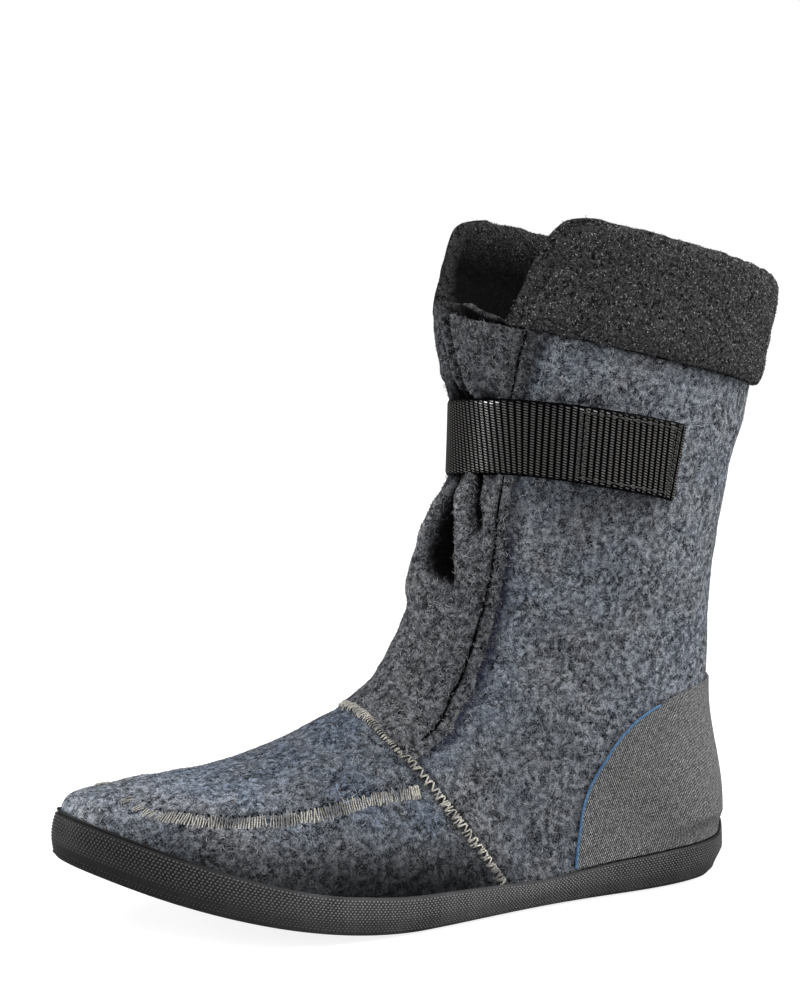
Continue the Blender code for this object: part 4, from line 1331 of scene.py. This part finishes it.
def counter_edge_x(z):
    heights, places = zip(*COUNTER_EDGE)
    return np.where(z > heights[-1], -99.0, smooth(heights, places, z))


def counter_span(t, side):
    """Places u between the counter's front edge and its lower edge or the back of the heel, in one slice."""
    u = np.linspace(0, 1, COUNTER_SAMPLES)
    x, _, z = form(t, side * u).T
    inside = (x < counter_edge_x(z)) & (z > rim_top(x) + COUNTER_RISE)
    return (u[inside][0], u[inside][-1]) if inside.any() else None


def round_heel(points):
    """Each point's way round the heel from its back, and its height."""
    x, y, z = points.T
    turn = np.arctan2(np.abs(y), np.maximum(HEEL_CENTRE - x, 0))
    away = HEEL_RADIUS * turn + np.maximum(x - HEEL_CENTRE, 0)
    return np.column_stack([np.sign(y) * away, z, 0 * z])


def heel_counter():
    out = COUNTER_LIFT + COUNTER_THICK
    parts, edgings = [], []
    for side in (1, -1):
        rows = [(t, counter_span(t, side)) for t in np.linspace(COUNTER_FROM_T, COUNTER_TO_T, COUNTER_ROWS)]
        rows = [(t, ends) for t, ends in rows if ends]
        row_t = np.array([t for t, _ in rows])
        t = np.repeat(row_t, COUNTER_COLUMNS)
        u = side * np.concatenate([np.linspace(*ends, COUNTER_COLUMNS) for _, ends in rows])
        faces = grid(len(rows), COUNTER_COLUMNS)
        faces = faces if side > 0 else faces[:, ::-1]
        parts.append(wall(skin(t, u, out), skin(t, u, COUNTER_LIFT), faces))
        edge = side * np.array([ends[0] for _, ends in rows])
        shown = form(row_t, edge)[:, 2] < EDGING_TOP
        path = even_line(row_t[shown], edge[shown], EDGING_STEP)
        edgings.append(tube(skin(*path, out - EDGING_SINK), outward(*path), EDGING_RADIUS, 8))
    points, faces = joined(parts)
    values = {"flat": round_heel(points)}
    add_piece("counter_twill", points, faces, TWILL, "heel_counter", ["heel_counter"], values, sharp=50)
    points, faces = joined(edgings)
    add_piece("counter_edging", points, faces, EDGING, "heel_counter", values={"shade": 0 * points[:, 0]})


# Strap

def band_line(from_u, to_u, drop, step):
    """Places t, u along the strap's middle line at even steps, and each one's distance along it."""
    coarse = np.linspace(from_u, to_u, 120)
    t = np.linspace(ROW["ankle"], ROW["collar"], 300)
    heights = table_at(STRAP_LINE, coarse) - drop
    middle = np.array([np.interp(z, form(t, u)[:, 2], t) for u, z in zip(coarse, heights)])
    length = running_length(form(middle, coarse))
    along = np.linspace(0, length[-1], int(length[-1] / step))
    return np.interp(along, length, middle), np.interp(along, length, coarse), along


class Band:
    """A flat band round the leg, straight across at the front and slanting at its outer end."""

    def __init__(self, from_u, to_u, drop, out):
        t, u, self.along = band_line(from_u, to_u, drop, 0.7)
        self.middle = skin(t, u, out)
        self.out = outward(t, u)
        ahead = np.gradient(self.middle, axis=0)
        up = unit(np.cross(ahead, self.out))
        up = up * np.sign(up[:, 2:])
        self.up = up - unit(ahead) * (BAND_SHEAR * ease(0.15, 0.45, u))[:, None]

    def at(self, along, across, height):
        """Points by their distance along and across the band and above its lower face."""
        middle, out, up = [between(along, self.along, way) for way in (self.middle, self.out, self.up)]
        return middle + up * np.asarray(across)[..., None] + out * np.asarray(height)[..., None]

    def sheet(self, width, step):
        """Distances along and across at the points of a grid over the band."""
        along = np.linspace(0, self.along[-1], int(self.along[-1] / step))
        across = np.linspace(-width / 2, width / 2, int(width / step))
        return [part.T for part in np.meshgrid(along, across, indexing="ij")]


def strap_band():
    near = ROW["strap"]
    ends = u_at_x(near, -1, STRAP_INNER_END_X), u_at_x(near, 1, STRAP_END_X)
    return Band(*ends, 0.0, GUSSET_LIFT + GUSSET_THICK + STRAP_LIFT)


def strap():
    shape = strap_band()
    along, across = shape.sheet(STRAP_WIDTH, 0.75)
    edge = ease(0.0, STRAP_EDGE, STRAP_WIDTH / 2 - np.abs(across))
    top = shape.at(along, across, STRAP_THICK * (0.55 + 0.45 * edge)).reshape(-1, 3)
    low = shape.at(along, across, STRAP_THICK * 0.45 * (1 - edge)).reshape(-1, 3)
    flat = np.column_stack([along.ravel(), across.ravel(), 0 * along.ravel()])
    from_end = flat[:, 0] - shape.along[-1]
    # Painted shade on the floats away from the strap's end, painted light near it
    brightened = ease(-STITCH_ROWS[0] - STRAP_SHADED_FADE, -STITCH_ROWS[0], from_end)
    values = {"flat": flat, "worn": STRAP_SHADED + (1 - STRAP_SHADED) * brightened}
    add_wall("strap_webbing", top, low, grid(*along.shape), WEBBING, "strap", ["strap"], values, sharp=60)


def strap_stitches():
    """Double rows of dark stitches across the strap, and one along each edge between them."""
    shape = strap_band()
    length = shape.along[-1]
    stitches = []
    for place in (*STITCH_ROWS, length - STITCH_ROWS[1]):
        for shift, start in ((-STITCH_APART, 0.0), (STITCH_APART, 0.5)):
            s = length - place + shift
            steps = np.arange(STITCH_FROM, STITCH_TO, STITCH_PITCH) + start * STITCH_PITCH
            stitches += [((s, y), (s, y + STITCH_LONG)) for y in steps]
    for y in (-STITCH_SIDE, STITCH_SIDE):
        steps = np.arange(length - STITCH_ROWS[0], length - STITCH_ROWS[1], STITCH_PITCH)
        stitches += [((s, y), (s + STITCH_LONG, y)) for s in steps]
    parts = []
    share = np.linspace(0, 1, 6)
    for start, end in stitches:
        along = start[0] + (end[0] - start[0]) * share
        across = start[1] + (end[1] - start[1]) * share
        path = shape.at(along, across, STRAP_THICK - 0.25 + 0.4 * np.sin(math.pi * share))
        out = shape.at(along, across, 1 + 0 * share) - shape.at(along, across, 0 * share)
        parts.append(tube(path, out, STITCH_RADIUS))
    points, faces = joined(parts)
    add_piece("strap_stitches", points, faces, DARK_THREAD, "strap", values={"shade": 0 * points[:, 0]})


def strap_hook_patch():
    near = ROW["strap"]
    ends = u_at_x(near, 1, PATCH_TO_X), u_at_x(near, 1, PATCH_FROM_X)
    shape = Band(*ends, PATCH_DROP, PATCH_LIFT)
    along, across = shape.sheet(PATCH_WIDTH, 0.8)
    hooks = np.abs(np.sin(math.pi * along / HOOK_PITCH) * np.sin(math.pi * across / HOOK_PITCH))
    top = shape.at(along, across, PATCH_THICK - HOOK_RISE + HOOK_RISE * hooks).reshape(-1, 3)
    low = shape.at(along, across, 0 * hooks).reshape(-1, 3)
    slot = "strap_hook_patch"
    add_wall("hook_tape", top, low, grid(*along.shape), HOOKS, slot, [slot], {"rise": hooks.ravel()})


# Sole

SOLE_STEPS, RING_STEPS = 300, 6


def heel_lip(x):
    """How much higher the rim is at the very back of the heel."""
    return HEEL_LIP * (1 - ease(1.0, 11.0, x))


def rim_round(x):
    """How far the rim's outer edge is rounded off at the toe."""
    return TOE_ROUND * ease(215.0, 280.0, x)


def heel_bevel(x, height):
    """How far the lower back edge of the heel is cut off at a height above the underside."""
    return HEEL_BEVEL * (1 - ease(0.0, 24.0, x)) * np.clip(1 - height / 9.0, 0, 1)


def side_inset(x, height):
    """How far the sole's side lies inside the outline at a height above the underside."""
    rim = rim_top(x) + heel_lip(x) - underside(x)
    low = 0.5 * (1 - ease(3.4, 8.0, height))
    high = (0.3 + 0.5 * rim_round(x)) * np.clip((height - 8.0) / (rim - 9.6), 0, 1) ** 2
    edge = (0.6 + 0.5 * rim_round(x)) * np.clip((height - rim + 1.6) / 1.6, 0, 1) ** 2
    return low + high + edge + heel_bevel(x, height)


def loop_points(inset, height, from_rim, arched, steps):
    """One ring of the sole, from the heel round the outer side to the toe and back."""
    outer, inner = side_lines(0.0)
    pick_outer = np.linspace(0, len(outer) - 1, steps + 1).round().astype(int)
    pick_inner = (-np.linspace(0, len(inner) - 1, steps + 1).round().astype(int)) % len(RING)
    pick = np.concatenate([pick_outer, pick_inner[-2:0:-1]])
    x = RING[pick, 0]
    round_off = rim_round(x) * (0.5 if height < -1 else 1.0) * (from_rim and inset < 1.0)
    bevel = heel_bevel(x, height) * (not from_rim and inset < RIM_WALL)
    place = RING[pick] + (inset + round_off + bevel)[:, None] * RING_INWARD[pick]
    x, y = place.T
    base = rim_top(x) + heel_lip(x) if from_rim else underside(x)
    return np.column_stack([x, y, base + height + arched * arch(x, y)])


def outsole():
    """The cup sole: rings from its underside up its side, over the rim and down to its floor."""
    rings = np.array([loop_points(*ring, SOLE_STEPS) for ring in SOLE_RINGS])
    at = np.linspace(0, len(rings) - 1, (len(rings) - 1) * RING_STEPS + 1)
    low = np.clip(at.astype(int), 0, len(rings) - 2)
    slope = np.gradient(rings, axis=0)
    rows = hermite(rings[low], rings[low + 1], slope[low], slope[low + 1], (at - low)[:, None, None])
    count = rings.shape[1]
    faces = [list(face) for face in tube_grid(len(at), count)[:, ::-1]]
    last = (len(at) - 1) * count
    for j in range(count // 2):
        ladder = list(dict.fromkeys([j, j + 1, (count - j - 1) % count, (count - j) % count]))
        faces.append(ladder)
        faces.append([last + v for v in reversed(ladder)])
    points = rows.reshape(-1, 3)
    values = {"rise": 0 * points[:, 0]}
    add_piece("sole_rubber", points, faces, RUBBER, "outsole", ["outsole"], values, sharp=40)


def dot_row(k, count):
    """Points of one row of dots: each has a ring of points at its foot and one at its top."""
    spot = (np.arange(count) + 0.5 * (k % 2)) * len(RING) / count
    index = spot.round().astype(int) % len(RING)
    x = RING[index, 0]
    rim = rim_top(x) + heel_lip(x) - underside(x)
    height = rim - DOT_TOP - 0.5 * rim_round(x) - k * DOT_ROW_PITCH * rim / RIM_HEIGHT
    ring = RING[index] + side_inset(x, height)[:, None] * RING_INWARD[index]
    centre = np.column_stack([ring, underside(x) + height])
    out = np.column_stack([-RING_INWARD[index], 0 * x])
    ahead = unit(np.column_stack([RING_AHEAD[index], 0 * x]))
    turn = np.linspace(0, 2 * math.pi, DOT_SIDES, endpoint=False)
    flat = np.cos(turn)[:, None] * ahead[:, None] * DOT_RADIUS
    flat = flat + np.sin(turn)[:, None] * np.array((0, 0, DOT_RADIUS * DOT_FLAT))
    foot = centre[:, None] + flat - DOT_SINK * out[:, None]
    top = centre[:, None] + 0.5 * flat + DOT_RISE * out[:, None]
    return np.concatenate([foot, top], axis=1).reshape(-1, 3)


def sole_dots():
    """Small raised dots in staggered rows on the side of the sole."""
    length = np.linalg.norm(np.roll(RING, -1, 0) - RING, axis=1).sum()
    count = int(length / DOT_PITCH)
    sides = tube_grid(2, DOT_SIDES)
    top = np.array([[0, 1, 2, 3], [0, 3, 4, 5]]) + DOT_SIDES
    first = np.arange(count)[:, None, None] * 2 * DOT_SIDES
    faces = (first + np.vstack([sides, top])).reshape(-1, 4)
    parts, rises = [], []
    for k in range(DOT_ROWS):
        parts.append((dot_row(k, count), faces))
        # Paler dot tops, partly wear and partly painted highlight, fading on the lower rows
        fade = 1 - DOT_FADE * (k / DOT_ROWS) ** 2
        rises.append(np.tile(np.repeat([0.15, 1.0], DOT_SIDES), count) * fade)
    points, faces = joined(parts)
    values = {"rise": np.concatenate(rises)}
    add_piece("sole_dots", points, faces, RUBBER, "outsole", values=values, sharp=50)


# Threads

def across_line(t, u):
    """Unit direction across a line of places on the upper's face."""
    return unit(np.cross(outward(t, u), np.gradient(form(t, u), axis=0)))


def on_felt(t, u, lift):
    return skin(t, u, relief(t, u) + lift)


def zigzag(t, u, half, lift, radius):
    """A thread that goes to and fro across a seam whose places t, u are one stitch apart."""
    side = across_line(t, u)
    knots = np.where(np.arange(len(t)) % 2, 1.0, -1.0) * half * (1 + 0.12 * RANDOM.normal(size=len(t)))
    fine = np.linspace(0, len(t) - 1, (len(t) - 1) * 6 + 1)
    key = np.arange(len(t), dtype=float)
    jitter = 0.18 * RANDOM.normal(size=len(t))
    offset = np.interp(fine, key + jitter, knots)
    place_t, place_u = np.interp(fine, key, t), np.interp(fine, key, u)
    side = between(fine, key, side)
    at_t, at_u = shifted(place_t, place_u, side * offset[:, None])
    path = on_felt(at_t, at_u, lift * (1 - 1.6 * np.abs(offset / half) ** 6))
    return tube(path, outward(at_t, at_u), radius, 5)


def slanted(t, u, half, lift, radius, kept):
    """Separate slanting stitches across a seam, of which a share is kept."""
    side = across_line(t, u)
    ahead = np.cross(side, outward(t, u))
    share = np.linspace(-1, 1, 7)
    parts = []
    for k in np.flatnonzero(RANDOM.random(len(t)) < kept):
        reach, lean, slip = RANDOM.normal((half, 0.5, 0.0), (0.35, 0.3, 0.25))
        move = side[k] * (reach * share + slip)[:, None] + ahead[k] * (lean * share)[:, None]
        at_t, at_u = shifted(t[k], u[k], move)
        path = on_felt(at_t, at_u, lift * (1 - 1.6 * np.abs(share) ** 6))
        parts.append(tube(path, outward(at_t, at_u), radius * RANDOM.uniform(0.75, 1.2), 5))
    return joined(parts)


def bar_tack(t, u):
    """A few thick threads side by side across the end of a seam."""
    side = across_line(t, u)
    offset = np.linspace(-TACK_HALF, TACK_HALF, 9)
    parts = []
    for k in range(TACK_THREADS):
        at_t, at_u = shifted(t[k], u[k], side[k] * offset[:, None])
        path = on_felt(at_t, at_u, TACK_LIFT - 1.1 * np.abs(offset / TACK_HALF) ** 6)
        parts.append(tube(path, outward(at_t, at_u), TACK_RADIUS))
    return joined(parts)


def sew(kind, t, u, stitch):
    """Stitches of one kind along a line of places, by a row of sizes that starts with their distance."""
    pitch, *sizes = stitch
    return kind(*even_line(t, u, pitch), *sizes)


def seam_threads():
    u = np.linspace(-0.95, 0.95, 2400)
    t = seam_t(u)
    points = form(t, u)
    height = points[:, 2] - rim_top(points[:, 0])
    above = height > 0.6
    low = above & (height < 7.0)
    front = np.abs(u) < 0.32
    threads = []
    for side in (above & (u > 0.3), above & (u < -0.3)):
        threads.append(sew(zigzag, t[side], u[side], SEAM_ZIGZAG))
    threads.append(sew(slanted, t[above], u[above], SEAM_LOOSE))
    for dense in (low & (u > 0), low & (u < 0)):
        threads.append(sew(zigzag, t[dense], u[dense], SEAM_LOW_ZIGZAG))
    threads.append(sew(slanted, t[front], u[front], SEAM_FRONT))
    for way in (1, -1):
        t, u = [part[::way] for part in apron_line(APRON_STITCH)]
        last = int(np.argmax(t < APRON_END))
        loose = int(np.argmax(t < APRON_LOOSE_END))
        threads.append(slanted(t[:last], u[:last], *APRON_SEWN))
        threads.append(slanted(t[last:loose], u[last:loose], *APRON_LOOSE))
        threads.append(bar_tack(t, u))
    points, faces = joined(threads)
    shade = np.clip(0.15 + 0.6 * ripple(points, 5.0, 21), 0, 1)
    add_piece("seam_thread", points, faces, CREAM_THREAD, "upper", values={"shade": shade})


def needle_holes():
    """Small dark holes along the upper edge of the apron's seam."""
    t, u = apron_line(HOLE_PITCH)
    kept = (t > APRON_END) & (RANDOM.random(len(t)) < HOLE_SHARE)
    t, u = t[kept], u[kept]
    side = across_line(t, u)
    turn = np.linspace(0, 2 * math.pi, 6, endpoint=False)
    ahead = unit(np.gradient(form(t, u), axis=0))
    parts = []
    for k in range(len(t)):
        inward = -np.sign(side[k] @ (form(t[k], 0.0) - form(t[k], u[k])))
        centre = -side[k] * inward * HOLE_OFFSET
        move = centre + HOLE_RADIUS * (np.cos(turn)[:, None] * ahead[k] + np.sin(turn)[:, None] * side[k])
        at_t, at_u = shifted(t[k], u[k], move)
        parts.append((on_felt(at_t, at_u, HOLE_LIFT), np.array([[0, 1, 2, 3], [0, 3, 4, 5]])))
    points, faces = joined(parts)
    add_piece("needle_holes", points, faces, HOLE, "upper", values={"shade": 0 * points[:, 0]})


# Stage

def floor():
    """A pale floor that the camera sees as white."""
    corners = [(FLOOR_SIZE * x, FLOOR_SIZE * y, 0) for x, y in ((-1, -1), (1, -1), (1, 1), (-1, 1))]
    mesh = bpy.data.meshes.new("floor")
    mesh.from_pydata(corners, [], [(0, 1, 2, 3)])
    material, tree, shader = new_material("floor", 0.8, 0.0)
    tone = noise(tree, millimetres(tree), 0.004)
    finish_with(tree, shader, mixed(tree, tone, (FLOOR_TONE,) * 3, (FLOOR_TONE + 0.02,) * 3))
    seen = node(tree, "LightPath").outputs["Is Camera Ray"]
    shader.inputs["Emission Color"].default_value = (1, 1, 1, 1)
    tree.links.new(calc(tree, "MULTIPLY", seen, FLOOR_GLOW), shader.inputs["Emission Strength"])
    mesh.materials.append(material)
    new_object("floor", mesh)


def sky():
    """Even light from all round; the camera sees it as white."""
    world = bpy.data.worlds.new("world")
    bpy.context.scene.world = world
    world.use_nodes = True
    tree = world.node_tree
    seen = node(tree, "LightPath").outputs["Is Camera Ray"]
    strength = calc(tree, "MULTIPLY_ADD", seen, 1.0 - AMBIENT, AMBIENT)
    tree.nodes["Background"].inputs["Color"].default_value = (1, 1, 1, 1)
    tree.links.new(strength, tree.nodes["Background"].inputs["Strength"])


def facing(way):
    """Turn of a lamp or camera that looks along a direction."""
    return Vector(way).to_track_quat("-Z", "Y").to_euler()


def lamp(name, at, aim, size, power):
    light = bpy.data.lights.new(name, "AREA")
    light.shape = "DISK"
    light.size = size
    light.energy = power
    obj = new_object(name, light)
    obj.location = at
    obj.rotation_euler = facing(Vector(aim) - Vector(at))


def sun():
    light = bpy.data.lights.new("sun", "SUN")
    light.energy = SUN_POWER
    light.angle = math.radians(SUN_ANGLE)
    new_object("sun", light).rotation_euler = facing(-Vector(SUN_FROM))


def camera():
    lens = bpy.data.cameras.new("camera")
    lens.lens = CAMERA_LENS
    obj = new_object("camera", lens)
    obj.location = CAMERA_AT
    obj.rotation_euler = facing(Vector(CAMERA_AIM) - Vector(CAMERA_AT))
    bpy.context.scene.camera = obj


def insole():
    """The insole keeps its solid and gets the gusset's darker felt."""
    for piece in bpy.data.objects:
        if piece.type == "MESH" and piece.name.startswith("insole"):
            piece.data.materials.clear()
            piece.data.materials.append(GUSSET_FELT)


upper()
gusset()
gusset_lining()
cuff()
heel_counter()
strap()
strap_stitches()
strap_hook_patch()
outsole()
sole_dots()
seam_threads()
needle_holes()
insole()
floor()
sky()
sun()
for spot in LAMPS:
    lamp(*spot)
camera()
bpy.context.scene.view_settings.view_transform = "Standard"
